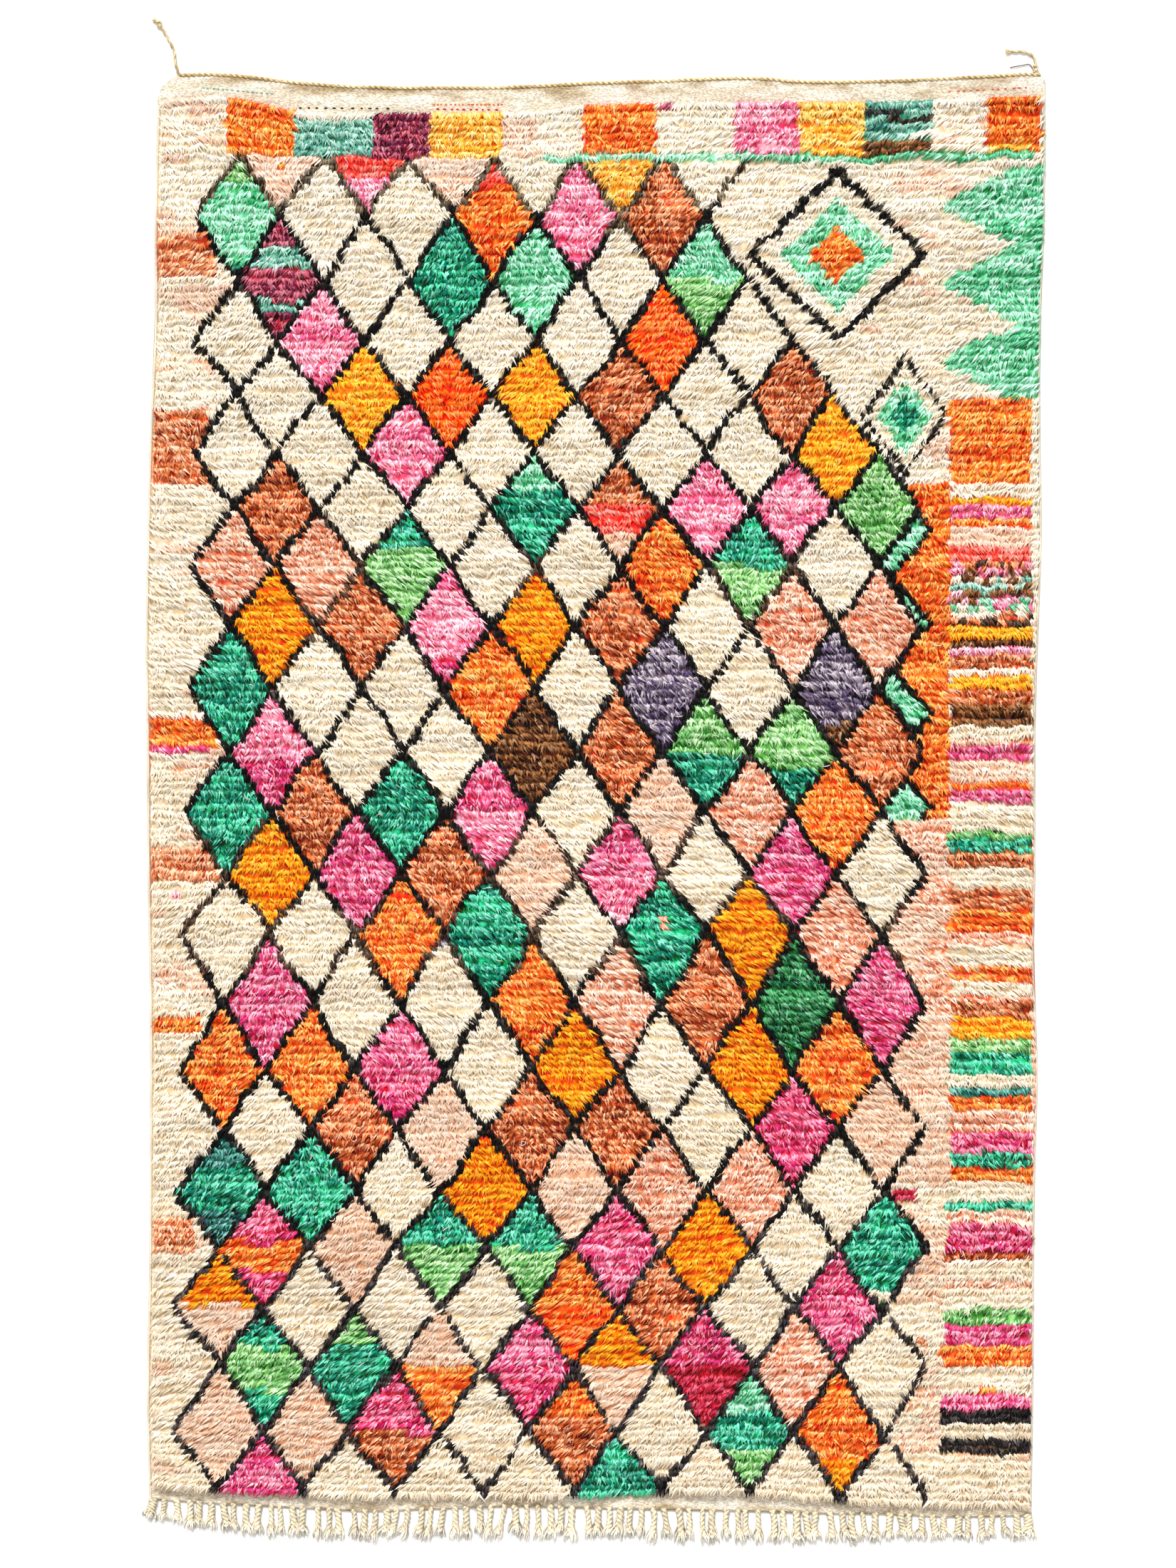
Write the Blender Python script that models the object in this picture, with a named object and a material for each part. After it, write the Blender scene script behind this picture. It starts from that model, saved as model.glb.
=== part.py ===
"""An azilal rug lying flat on a floor.

It is a knotted pile rug woven in one piece, with a narrow flat-woven band at each end, a fringe of
twisted warp ends at one end, and a heading cord at the other whose two loose ends stick out at the corners.

Metres, +Z up. X runs across the rug and +Y towards the heading. The floor is Z = 0, and the origin is the
middle of the rug on the floor.
"""

import math
import random
from collections import namedtuple

import bmesh
import bpy
from mathutils import Vector, noise

# Driving dimensions
HALF_WIDTH = 0.772
HEADING_Y = 1.270
FRINGE_Y = -1.222
CLOTH_THICKNESS = 0.003
PILE_HEIGHT = 0.0175
LUMP_HEIGHT = 0.0058
LUMP_SIZE = (0.150, 0.085)
CLUMP_HEIGHT = 0.0034
CLUMP_SIZE = (0.070, 0.038)
SELVEDGE_WIDTH = 0.0065
RIM_SLOPE = 0.009
LOCK_REACH = 0.0052
LOCK_HEIGHT = 0.0085
BUCKLE_HEIGHT = 0.0022
BUCKLE_SIZE = (0.090, 0.050)
LEFT_CORNER_RADIUS = 0.046
RIGHT_CORNER_RADIUS = 0.012
HEADING_CORD_DIAMETER = 0.0066
HEADING_CORD_WAIST = 0.86
CORNER_CORD_DIAMETER = 0.0056
PLY_GROOVE = 0.30
TWIST_PITCH = 0.025
FRAY_LENGTH = 0.009
FRAY_WIDTH = 0.0092
STRIP_WIDTH = 0.006
STRAND_WIDTH = 0.0072
STRAND_TOP = 0.55
STRAND_COUNT = 76
ROOT_SCATTER = 0.2
LEAN_SCATTER = 0.006
REACH_SCATTER = 0.07
TIP_CLEARANCE = 0.0022
GAP = 0.0003

# How finely the solids are divided
PILE_COLUMNS = 32
PILE_ROWS = 80
HEADING_CORD_STEP = 0.0095
TWIST_STEPS = 8

# How far each side stands out past HALF_WIDTH, down the length of the rug
SideRow = namedtuple("SideRow", "y left right")
SIDES = [
    SideRow(1.220, -0.012, 0.015),
    SideRow(1.034, -0.007, 0.014),
    SideRow(0.848, -0.007, 0.007),
    SideRow(0.662, 0.001, 0.006),
    SideRow(0.476, 0.006, 0.009),
    SideRow(0.290, 0.009, 0.002),
    SideRow(0.104, 0.007, -0.003),
    SideRow(-0.082, 0.006, -0.002),
    SideRow(-0.268, 0.003, -0.005),
    SideRow(-0.454, 0.001, 0.002),
    SideRow(-0.640, 0.002, -0.003),
    SideRow(-0.826, 0.003, -0.005),
    SideRow(-1.012, 0.007, -0.006),
    SideRow(-1.198, 0.003, -0.009),
]

# How the ends wander across the rug: the two outer edges from HEADING_Y and FRINGE_Y, and how wide
# each flat-woven band is before the pile starts
EndRow = namedtuple("EndRow", "x heading_edge heading_band fringe_band fringe_edge")
ENDS = [
    EndRow(-0.760, 0.010, 0.049, 0.025, 0.017),
    EndRow(-0.640, 0.011, 0.042, 0.023, 0.009),
    EndRow(-0.520, -0.002, 0.055, 0.024, 0.003),
    EndRow(-0.400, -0.010, 0.051, 0.026, -0.003),
    EndRow(-0.270, -0.011, 0.049, 0.022, 0.001),
    EndRow(-0.140, -0.010, 0.048, 0.017, 0.005),
    EndRow(0.000, -0.003, 0.044, 0.022, 0.002),
    EndRow(0.130, 0.001, 0.043, 0.031, -0.001),
    EndRow(0.260, 0.006, 0.046, 0.033, -0.003),
    EndRow(0.380, -0.001, 0.039, 0.026, -0.007),
    EndRow(0.500, 0.000, 0.040, 0.019, -0.008),
    EndRow(0.620, 0.005, 0.039, 0.020, -0.013),
    EndRow(0.740, 0.012, 0.042, 0.015, -0.011),
    EndRow(0.775, 0.012, 0.042, 0.012, -0.009),
]

# Reach of the fringe past the cloth, and how far its tips lean to +X, across the rug
FringeRow = namedtuple("FringeRow", "x reach lean")
FRINGE = [
    FringeRow(-0.78, 0.034, -0.014),
    FringeRow(-0.70, 0.045, 0.000),
    FringeRow(-0.56, 0.054, 0.001),
    FringeRow(-0.38, 0.050, -0.007),
    FringeRow(-0.20, 0.054, -0.009),
    FringeRow(0.00, 0.056, -0.004),
    FringeRow(0.22, 0.055, 0.002),
    FringeRow(0.42, 0.051, 0.004),
    FringeRow(0.60, 0.042, 0.003),
    FringeRow(0.77, 0.042, 0.004),
]

# One twisted tassel from its root to its frayed tip: share of its length, width and height
StrandRow = namedtuple("StrandRow", "share width height")
STRAND_FORM = [
    StrandRow(0.14, 0.0064, 0.0056),
    StrandRow(0.45, 0.0060, 0.0060),
    StrandRow(0.70, 0.0066, 0.0062),
    StrandRow(0.82, 0.0100, 0.0066),
    StrandRow(0.94, 0.0112, 0.0044),
    StrandRow(1.00, 0.0060, 0.0018),
]

# Routes of the loose cord ends on the floor, from the heading outwards
RoutePoint = namedtuple("RoutePoint", "x y")
LEFT_CORD_ROUTE = [
    RoutePoint(-0.7245, 1.2808),
    RoutePoint(-0.7255, 1.2875),
    RoutePoint(-0.7290, 1.2985),
    RoutePoint(-0.7310, 1.3175),
    RoutePoint(-0.7370, 1.3330),
    RoutePoint(-0.7465, 1.3500),
    RoutePoint(-0.7575, 1.3665),
    RoutePoint(-0.7625, 1.3715),
]
RIGHT_CORD_ROUTE = [
    RoutePoint(0.7680, 1.2823),
    RoutePoint(0.7690, 1.2880),
    RoutePoint(0.7705, 1.2955),
    RoutePoint(0.7690, 1.3045),
    RoutePoint(0.7630, 1.3130),
    RoutePoint(0.7530, 1.3175),
    RoutePoint(0.7400, 1.3195),
    RoutePoint(0.7240, 1.3180),
]


def clear_scene():
    """Remove everything that the file holds."""
    for thing in list(bpy.data.objects):
        bpy.data.objects.remove(thing, do_unlink=True)


def new_material(name, colour, roughness):
    """A plain cloth material."""
    material = bpy.data.materials.new(name)
    material.use_nodes = True
    shader = material.node_tree.nodes["Principled BSDF"]
    shader.inputs["Base Color"].default_value = (*colour, 1.0)
    shader.inputs["Roughness"].default_value = roughness
    shader.inputs["Metallic"].default_value = 0.0
    return material


def read_table(rows, key, column, at):
    """Value of a table's column at a place between its rows, on a smooth curve through them."""
    places = [getattr(row, key) for row in rows]
    values = [getattr(row, column) for row in rows]
    if places[0] > places[-1]:
        places.reverse()
        values.reverse()
    at = min(max(at, places[0]), places[-1])
    last = len(places) - 1
    i = max(k for k in range(last) if places[k] <= at)
    span = places[i + 1] - places[i]
    before, after = max(i - 1, 0), min(i + 2, last)
    slope_in = (values[i + 1] - values[before]) / (places[i + 1] - places[before]) * span
    slope_out = (values[after] - values[i]) / (places[after] - places[i]) * span
    t = (at - places[i]) / span
    return (
        values[i] * (2 * t**3 - 3 * t**2 + 1)
        + slope_in * (t**3 - 2 * t**2 + t)
        + values[i + 1] * (3 * t**2 - 2 * t**3)
        + slope_out * (t**3 - t**2)
    )


def left_side(y):
    return -HALF_WIDTH - read_table(SIDES, "y", "left", y)


def right_side(y):
    return HALF_WIDTH + read_table(SIDES, "y", "right", y)


def heading_edge(x):
    """Outer edge of the heading cord."""
    return HEADING_Y + read_table(ENDS, "x", "heading_edge", x)


def fringe_edge(x):
    """Outer edge of the strip that the fringe grows from."""
    return FRINGE_Y + read_table(ENDS, "x", "fringe_edge", x)


def cross_lines(x):
    """Where the cloth's heading end, the pile's two ends and the cloth's fringe end lie at x."""
    top = heading_edge(x)
    bottom = fringe_edge(x)
    return (
        top - HEADING_CORD_DIAMETER - GAP,
        top - read_table(ENDS, "x", "heading_band", x),
        bottom + read_table(ENDS, "x", "fringe_band", x),
        bottom + STRIP_WIDTH + GAP,
    )


def round_corner(point, centre, side, radius):
    """Draw a point of a square corner in to a round one."""
    out_x = (point.x - centre.x) * side
    out_y = point.y - centre.y
    if out_x <= 0 or out_y <= 0:
        return point
    scale = max(out_x, out_y) / math.hypot(out_x, out_y)
    reach = min(max(out_x, out_y) / radius, 1.0)
    scale = 1 + (scale - 1) * reach
    return Vector((centre.x + side * out_x * scale, centre.y + out_y * scale, point.z))


def along_line(x, along):
    """Y at x for a share along: 0 to 1 over the heading's band, 1 to 2 the pile, 2 to 3 the fringe's band."""
    lines = cross_lines(x)
    band = min(int(along), 2)
    return lines[band] + (lines[band + 1] - lines[band]) * (along - band)


def place_on_rug(across, along):
    """Point of the flat outline, with across from 0 at the left side to 1 at the right."""
    rough_y = along_line((across - 0.5) * 2 * HALF_WIDTH, along)
    left, right = left_side(rough_y), right_side(rough_y)
    x = left + (right - left) * across
    point = Vector((x, along_line(x, along), 0))
    for side, edge, radius in ((-1, left, LEFT_CORNER_RADIUS), (1, right, RIGHT_CORNER_RADIUS)):
        centre_x = edge - side * radius
        centre = Vector((centre_x, cross_lines(centre_x)[0] - radius, 0))
        point = round_corner(point, centre, side, radius)
    return point


def pile_top(x, y):
    """Height of the pile: broad lumps longer across the rug than along it, with smaller clumps on them."""
    lump = noise.noise(Vector((x / LUMP_SIZE[0], y / LUMP_SIZE[1], 0.3)))
    clump = noise.noise(Vector((x / CLUMP_SIZE[0], y / CLUMP_SIZE[1], 5.1)))
    return PILE_HEIGHT + LUMP_HEIGHT * lump + CLUMP_HEIGHT * clump


def band_top(x, y):
    """Height of a flat-woven band, which buckles a little off the floor."""
    buckle = noise.noise(Vector((x / BUCKLE_SIZE[0], y / BUCKLE_SIZE[1], 9.7)))
    return CLOTH_THICKNESS + BUCKLE_HEIGHT * max(buckle, 0.0)


def column_places():
    """Where the columns of points run across the rug, with the pile's rim near both sides."""
    foot = SELVEDGE_WIDTH / (2 * HALF_WIDTH)
    shoulder = (SELVEDGE_WIDTH + RIM_SLOPE) / (2 * HALF_WIDTH)
    inner = [shoulder + (1 - 2 * shoulder) * i / PILE_COLUMNS for i in range(PILE_COLUMNS + 1)]
    return [0.0, foot] + inner + [1 - foot, 1.0]


def row_places():
    """Where the rows of points run along the rug, with the pile's rim near both ends."""
    shoulder = RIM_SLOPE / (HEADING_Y - FRINGE_Y)
    inner = [1 + shoulder + (1 - 2 * shoulder) * i / PILE_ROWS for i in range(PILE_ROWS + 1)]
    return [0.0, 0.35, 0.7, 1.0] + inner + [2.0, 2.5, 3.0]


def raise_locks(bm, foot_verts):
    """Split the rim's edges, and draw each new point out and up into the tip of a lock of pile."""
    foot = set(foot_verts)
    edges = [e for e in bm.edges if e.verts[0] in foot and e.verts[1] in foot]
    outward = {}
    for edge in edges:
        run = edge.verts[1].co - edge.verts[0].co
        side = Vector((run.y, -run.x, 0)).normalized()
        centre = (edge.verts[0].co + edge.verts[1].co) / 2
        away = side if side.dot(centre) > 0 else -side
        outward[tuple(round(c, 5) for c in centre)] = away
    split = bmesh.ops.subdivide_edges(bm, edges=edges, cuts=1)
    tips = [g for g in split["geom_inner"] if isinstance(g, bmesh.types.BMVert)]
    wobble = random.Random(4)
    for tip in tips:
        away = outward[tuple(round(c, 5) for c in tip.co)]
        tip.co += away * LOCK_REACH * wobble.uniform(0.6, 1.0)
        tip.co.z = LOCK_HEIGHT * wobble.uniform(0.75, 1.15)


def close_below(bm):
    """Turn the open top surface into a solid with a flat underside on the floor."""
    rim = [e for e in bm.edges if e.is_boundary]
    made = bmesh.ops.extrude_edge_only(bm, edges=rim)["geom"]
    for vert in (g for g in made if isinstance(g, bmesh.types.BMVert)):
        vert.co.z = 0.0
    lower_rim = [g for g in made if isinstance(g, bmesh.types.BMEdge) and g.is_boundary]
    bmesh.ops.contextual_create(bm, geom=lower_rim)
    bmesh.ops.recalc_face_normals(bm, faces=bm.faces)


def finish_object(bm, name, material, collection):
    """Write a bmesh to a named object."""
    mesh = bpy.data.meshes.new(name)
    bm.to_mesh(mesh)
    bm.free()
    mesh.materials.append(material)
    thing = bpy.data.objects.new(name, mesh)
    collection.objects.link(thing)
    mesh.shade_smooth()
    mesh.set_sharp_from_angle(angle=math.radians(40))
    return thing


def make_rug(collection):
    """The cloth: a lumpy pile slab with locks at its rim, thin selvedges and flat-woven ends."""
    columns, rows = column_places(), row_places()
    last_column, last_row = len(columns) - 1, len(rows) - 1
    foot_rows = (rows.index(1.0), rows.index(2.0))
    bm = bmesh.new()
    bmesh.ops.create_grid(bm, x_segments=last_column, y_segments=last_row, size=0.5)
    foot_verts = []
    for vert in bm.verts:
        column = round((vert.co.x + 0.5) * last_column)
        row = round((0.5 - vert.co.y) * last_row)
        vert.co = place_on_rug(columns[column], rows[row])
        in_pile = foot_rows[0] < row < foot_rows[1] and 1 < column < last_column - 1
        on_rim = foot_rows[0] <= row <= foot_rows[1] and 1 <= column <= last_column - 1
        if in_pile:
            vert.co.z = pile_top(vert.co.x, vert.co.y)
        elif on_rim:
            vert.co.z = CLOTH_THICKNESS
            foot_verts.append(vert)
        elif column in (0, last_column) or row in (0, last_row):
            vert.co.z = CLOTH_THICKNESS
        else:
            vert.co.z = band_top(vert.co.x, vert.co.y)
    raise_locks(bm, foot_verts)
    close_below(bm)
    material = new_material("pile", (0.86, 0.77, 0.62), 0.95)
    return finish_object(bm, "rug", material, collection)


def strand_roots():
    """Where the tassels leave the strip, evenly uneven across it."""
    left = left_side(FRINGE_Y) + STRAND_WIDTH
    right = right_side(FRINGE_Y) - STRAND_WIDTH
    pitch = (right - left) / (STRAND_COUNT - 1)
    wobble = random.Random(11)
    inner = range(1, STRAND_COUNT - 1)
    places = [left + pitch * (i + wobble.uniform(-ROOT_SCATTER, ROOT_SCATTER)) for i in inner]
    return [left] + places + [right]


def strand_tips(roots):
    """Where the tassels end, leaning as they fell, with each tip clear of the one before."""
    wobble = random.Random(29)
    room = max(row.width for row in STRAND_FORM) + TIP_CLEARANCE
    tips = []
    for root in roots:
        lean = read_table(FRINGE, "x", "lean", root) + wobble.uniform(-LEAN_SCATTER, LEAN_SCATTER)
        reach = read_table(FRINGE, "x", "reach", root) * (1 + wobble.uniform(-REACH_SCATTER, REACH_SCATTER))
        x = root + lean
        if tips:
            x = max(x, tips[-1].x + room)
        tips.append(Vector((x, fringe_edge(root) - reach, 0)))
    return tips


def make_strip(roots):
    """The narrow strip of cloth end, with a face for each tassel's root along its front."""
    left, right = left_side(FRINGE_Y), right_side(FRINGE_Y)
    stations = [left]
    for root in roots:
        stations += [root - STRAND_WIDTH / 2, root + STRAND_WIDTH / 2]
    stations.append(right)
    last = len(stations) - 1
    bm = bmesh.new()
    bmesh.ops.create_grid(bm, x_segments=last, y_segments=1, size=0.5)
    for vert in bm.verts:
        x = stations[round((vert.co.x + 0.5) * last)]
        back = vert.co.y > 0
        vert.co = Vector((x, fringe_edge(x) + (STRIP_WIDTH if back else 0), 0))
    kept = bmesh.ops.extrude_face_region(bm, geom=bm.faces[:], use_keep_orig=True)
    for vert in (g for g in kept["geom"] if isinstance(g, bmesh.types.BMVert)):
        vert.co.z = CLOTH_THICKNESS
    bmesh.ops.recalc_face_normals(bm, faces=bm.faces)
    return bm


def grow_strand(bm, face, root, tip):
    """Extrude one tassel from its face of the strip along a gentle bow to its tip, flat on the floor."""
    start = Vector((root, face.calc_center_median().y, 0))
    bow = Vector((root, start.y + (tip.y - start.y) * 0.5, 0))
    for row in STRAND_FORM:
        made = bmesh.ops.extrude_discrete_faces(bm, faces=[face])["faces"]
        face = made[0]
        t = row.share
        centre = start * (1 - t) ** 2 + bow * 2 * t * (1 - t) + tip * t**2
        run = ((bow - start) * (1 - t) + (tip - bow) * t).normalized()
        side = Vector((-run.y, run.x, 0))
        middle = face.calc_center_median()
        for vert in face.verts:
            is_top = vert.co.z > middle.z
            is_right = vert.co.x > middle.x
            half = row.width / 2 * (STRAND_TOP if is_top else 1.0)
            vert.co = centre + side * half * (1 if is_right else -1)
            vert.co.z = row.height if is_top else 0.0


def make_fringe(collection):
    """The fringe: twisted warp ends with frayed tips, on a strip parted from the cloth's edge."""
    roots = strand_roots()
    tips = strand_tips(roots)
    bm = make_strip(roots)
    fronts = {}
    for face in bm.faces:
        if face.normal.y < -0.9:
            fronts[round(face.calc_center_median().x, 4)] = face
    for root, tip in zip(roots, tips):
        grow_strand(bm, fronts[round(root, 4)], root, tip)
    bmesh.ops.recalc_face_normals(bm, faces=bm.faces)
    material = new_material("warp", (0.80, 0.72, 0.58), 0.95)
    return finish_object(bm, "fringe", material, collection)


def tube_mesh(name, points, diameter):
    """Mesh of a round tube with filled caps along some points."""
    curve = bpy.data.curves.new(name + "_line", "CURVE")
    curve.dimensions = "3D"
    curve.bevel_depth = diameter / 2
    curve.bevel_resolution = 2
    curve.use_fill_caps = True
    spline = curve.splines.new("POLY")
    spline.points.add(len(points) - 1)
    for spot, point in zip(spline.points, points):
        spot.co = (*point, 1.0)
    line = bpy.data.objects.new(name + "_line", curve)
    bpy.context.scene.collection.objects.link(line)
    graph = bpy.context.evaluated_depsgraph_get()
    mesh = bpy.data.meshes.new_from_object(line.evaluated_get(graph))
    bpy.data.objects.remove(line, do_unlink=True)
    bm = bmesh.new()
    bm.from_mesh(mesh)
    bmesh.ops.remove_doubles(bm, verts=bm.verts, dist=0.00001)
    bmesh.ops.recalc_face_normals(bm, faces=bm.faces)
    return bm


def raise_twist(bm, points, pitch, start_angle):
    """Press a round tube into two plies that wind about each other, and spread its frayed end flat."""
    run = [0.0]
    for a, b in zip(points, points[1:]):
        run.append(run[-1] + (b - a).length)
    for vert in bm.verts:
        nearest = min(range(len(points)), key=lambda i: (points[i] - vert.co).length)
        ahead = points[min(nearest + 1, len(points) - 1)] - points[max(nearest - 1, 0)]
        side = Vector((-ahead.y, ahead.x, 0)).normalized()
        out = vert.co - points[nearest]
        angle = math.atan2(out.z, out.dot(side))
        turn = start_angle + 2 * math.pi * run[nearest] / pitch
        out *= 1 - PLY_GROOVE + PLY_GROOVE * abs(math.cos(angle - turn))
        frayed = max(0.0, 1 - (run[-1] - run[nearest]) / FRAY_LENGTH)
        spread = (FRAY_WIDTH / CORNER_CORD_DIAMETER - 1) * math.sin(math.pi * min(frayed * 1.4, 1.0))
        vert.co = points[nearest] + out + side * out.dot(side) * spread


def smooth_route(route, spacing, height):
    """Even points along a smooth curve through a route's own points, at one height."""
    ends = [route[0]] + list(route) + [route[-1]]
    fine = []
    for a, b, c, d in zip(ends, ends[1:], ends[2:], ends[3:]):
        for step in range(40):
            t = step / 40
            weights = (-t + 2 * t**2 - t**3, 2 - 5 * t**2 + 3 * t**3, t + 4 * t**2 - 3 * t**3, t**3 - t**2)
            x = sum(w * p.x for w, p in zip(weights, (a, b, c, d))) / 2
            y = sum(w * p.y for w, p in zip(weights, (a, b, c, d))) / 2
            fine.append(Vector((x, y, height)))
    fine.append(Vector((route[-1].x, route[-1].y, height)))
    length = sum((b - a).length for a, b in zip(fine, fine[1:]))
    count = max(2, round(length / spacing))
    points, run, wanted = [fine[0]], 0.0, length / count
    for a, b in zip(fine, fine[1:]):
        run += (b - a).length
        if run >= wanted * len(points) - 1e-7:
            points.append(b)
    return points


def make_heading_cord(collection):
    """The heading cord, a thick twined cord worked along the whole of the rug's plain end."""
    radius = HEADING_CORD_DIAMETER / 2
    start = left_side(HEADING_Y) + LEFT_CORNER_RADIUS - 0.008
    end = right_side(HEADING_Y) - RIGHT_CORNER_RADIUS + 0.003
    count = round((end - start) / HEADING_CORD_STEP)
    points = []
    for i in range(count + 1):
        x = start + (end - start) * i / count
        points.append(Vector((x, heading_edge(x) - radius, radius)))
    bm = tube_mesh("heading_cord", points, HEADING_CORD_DIAMETER)
    for vert in bm.verts:
        nearest = round((vert.co.x - start) / (end - start) * count)
        nearest = min(max(nearest, 0), count)
        if nearest % 2:
            vert.co = points[nearest] + (vert.co - points[nearest]) * HEADING_CORD_WAIST
    material = new_material("heading", (0.66, 0.57, 0.44), 0.95)
    return finish_object(bm, "heading_cord", material, collection)


def make_corner_cord(name, route, start_angle, collection):
    """One loose end of the heading cord, two plies twisted, lying on the floor."""
    points = smooth_route(route, TWIST_PITCH / TWIST_STEPS, CORNER_CORD_DIAMETER / 2)
    bm = tube_mesh(name, points, CORNER_CORD_DIAMETER)
    raise_twist(bm, points, TWIST_PITCH, start_angle)
    material = new_material(name, (0.80, 0.73, 0.60), 0.95)
    return finish_object(bm, name, material, collection)


def main():
    clear_scene()
    collection = bpy.data.collections.new("azilal_rug")
    bpy.context.scene.collection.children.link(collection)
    make_rug(collection)
    make_fringe(collection)
    make_heading_cord(collection)
    make_corner_cord("left_corner_cord", LEFT_CORD_ROUTE, 0.0, collection)
    make_corner_cord("right_corner_cord", RIGHT_CORD_ROUTE, 0.9, collection)


main()
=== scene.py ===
"""The looks of an azilal rug that lies flat on a floor.

Every yarn end of the pile is a small lock of wool of its own, coloured from a knot chart with painted
shade and highlight along it, over a soft bed of the same colours deepened as painted shade. Round the pile
come the ground cloth with its woven bands and stitches, the twined heading cord, the corded sides, the
twisted tassels and the two loose cord ends, with their knots, frayed tips and a thread. A few stray fibres
lie on the pile.

Metres, +Z up. X runs across the rug, +Y towards the heading, and the floor is Z = 0.
"""

import math
import random
from collections import namedtuple

import bpy
import numpy as np
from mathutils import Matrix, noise


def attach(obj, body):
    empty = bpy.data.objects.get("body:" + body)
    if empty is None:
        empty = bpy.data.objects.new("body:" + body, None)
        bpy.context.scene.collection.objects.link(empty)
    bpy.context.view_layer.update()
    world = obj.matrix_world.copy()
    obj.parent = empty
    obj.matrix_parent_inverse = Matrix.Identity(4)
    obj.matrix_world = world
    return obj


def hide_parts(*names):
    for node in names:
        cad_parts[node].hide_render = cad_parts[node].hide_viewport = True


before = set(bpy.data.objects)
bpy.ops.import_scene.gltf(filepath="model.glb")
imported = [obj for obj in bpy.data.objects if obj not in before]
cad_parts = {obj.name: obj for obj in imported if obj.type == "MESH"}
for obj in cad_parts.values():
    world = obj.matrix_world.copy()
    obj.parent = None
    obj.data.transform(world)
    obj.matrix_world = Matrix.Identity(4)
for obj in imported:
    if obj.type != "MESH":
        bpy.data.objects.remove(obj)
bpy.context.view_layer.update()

# Driving dimensions, as in the part's own source
HALF_WIDTH = 0.772
HEADING_Y = 1.270
FRINGE_Y = -1.222
CLOTH_THICKNESS = 0.003
PILE_HEIGHT = 0.0175
LUMP_HEIGHT = 0.0058
LUMP_SIZE = (0.150, 0.085)
LOCK_HEIGHT = 0.0020
LOCK_SIZE = (0.016, 0.013)
CLUMP_HEIGHT = 0.0034
CLUMP_SIZE = (0.070, 0.038)
SELVEDGE_WIDTH = 0.0065
BUCKLE_HEIGHT = 0.0022
BUCKLE_SIZE = (0.090, 0.050)
LEFT_CORNER_RADIUS = 0.046
RIGHT_CORNER_RADIUS = 0.012
HEADING_CORD_DIAMETER = 0.0066
CORNER_CORD_DIAMETER = 0.0056
STRAND_WIDTH = 0.0072
STRAND_COUNT = 76
STRAND_ROOM = 0.0134
ROOT_SCATTER = 0.2
ROOT_SEED = 11
LEAN_SCATTER = 0.008
REACH_SCATTER = 0.11
TIP_SEED = 29

# The knots, with three or four yarn ends showing from each
KNOT_WIDTH = 0.0062
ROW_PITCH = 0.0124
ROW_COUNT = 196
END_PITCH = KNOT_WIDTH / 3.5
PILE_START = 1.2239
PILE_PIECES = 6
KNOT_SCATTER = 0.0030
END_SCATTER = 0.0026
END_JITTER = 0.8

# How far in from the ends the pile follows their wander, and its gap to each side in selvedge widths
END_FADE = 0.15
END_FADE_POWER = 1.5
LEFT_GAP = 1.3
RIGHT_GAP = 0.8
ROW_WANDER_FADE = 0.03

# Smooth noise of many kinds: its height, its size across and down, and a layer of its own
Ripple = namedtuple("Ripple", "height across down layer")
PILE_LUMPS = Ripple(LUMP_HEIGHT, *LUMP_SIZE, 0.3)
PILE_CLUMPS = Ripple(CLUMP_HEIGHT, *CLUMP_SIZE, 5.1)
PILE_LOCKS = Ripple(LOCK_HEIGHT, *LOCK_SIZE, 70.0)
BAND_BUCKLES = Ripple(BUCKLE_HEIGHT, *BUCKLE_SIZE, 9.7)
BAND_WEAR = Ripple(1.0, 0.09, 0.020, 12.0)
BAND_SPECKS = Ripple(0.7, 0.028, 0.008, 13.0)
LEAN_PATCHES = Ripple(1.1, 0.11, 0.07, 61.0)
LEAN_CLUMPS = Ripple(0.8, 0.035, 0.020, 62.0)
BRUSHED_FLAT = Ripple(0.0060, 0.045, 0.026, 9.0)
PLY_SWELL = Ripple(0.15, 0.012, 0.012, 18.0)
RIB_SWELL = Ripple(0.10, 0.03, 0.03, 4.0)

# The same, for how the smaller pieces drift between their two shades
HEADING_TINTS = Ripple(0.9, 0.05, 0.05, 22.0)
SELVEDGE_TINTS = Ripple(0.9, 0.06, 0.06, 33.0)
STITCH_TINTS = Ripple(0.9, 0.01, 0.01, 6.0)
STRAY_TINTS = Ripple(0.9, 0.02, 0.02, 5.0)
CORNER_TINTS = Ripple(0.9, 0.012, 0.012, 45.0)
FRAY_TINTS = Ripple(0.9, 0.01, 0.01, 2.0)
KNOT_TINTS = Ripple(0.9, 0.006, 0.006, 8.0)
THREAD_TINTS = Ripple(0.9, 0.01, 0.01, 3.0)

# The same in metres across and rows down, for the wander of the rows of knots
ROW_SWAY = Ripple(0.0050, 0.14, 2.0, 50.0)
ROW_JOG = Ripple(0.0080, 0.035, 1 / 0.9, 51.0)

# The same in knots and rows, for the chart
COLUMN_DRIFT = Ripple(0.12, 16, 10, 21.0)
COLUMN_JOG = Ripple(0.06, 7, 1.3, 3.0)
LINE_DRIFT = Ripple(0.12, 14, 11, 8.0)
LINE_SWELL = Ripple(0.15, 6, 2.2, 14.0)
LINE_WEAR = Ripple(1.0, 30, 14, 40.0)
BAR_ENDS = Ripple(1.6, 3.0, 3.0, 60.0)
BAR_MIXING = Ripple(2.2, 4, 0.9, 64.0)
BLUSH_CLOUDS = Ripple(1.0, 40, 5, 77.0)
BLUSH_STREAKS = Ripple(0.6, 9, 1.2, 78.0)
PEACH_STREAKS = Ripple(0.7, 10, 0.8, 79.0)
DYE_CLOUDS = Ripple(0.6048, 9, 2.0, 31.0)

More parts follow.
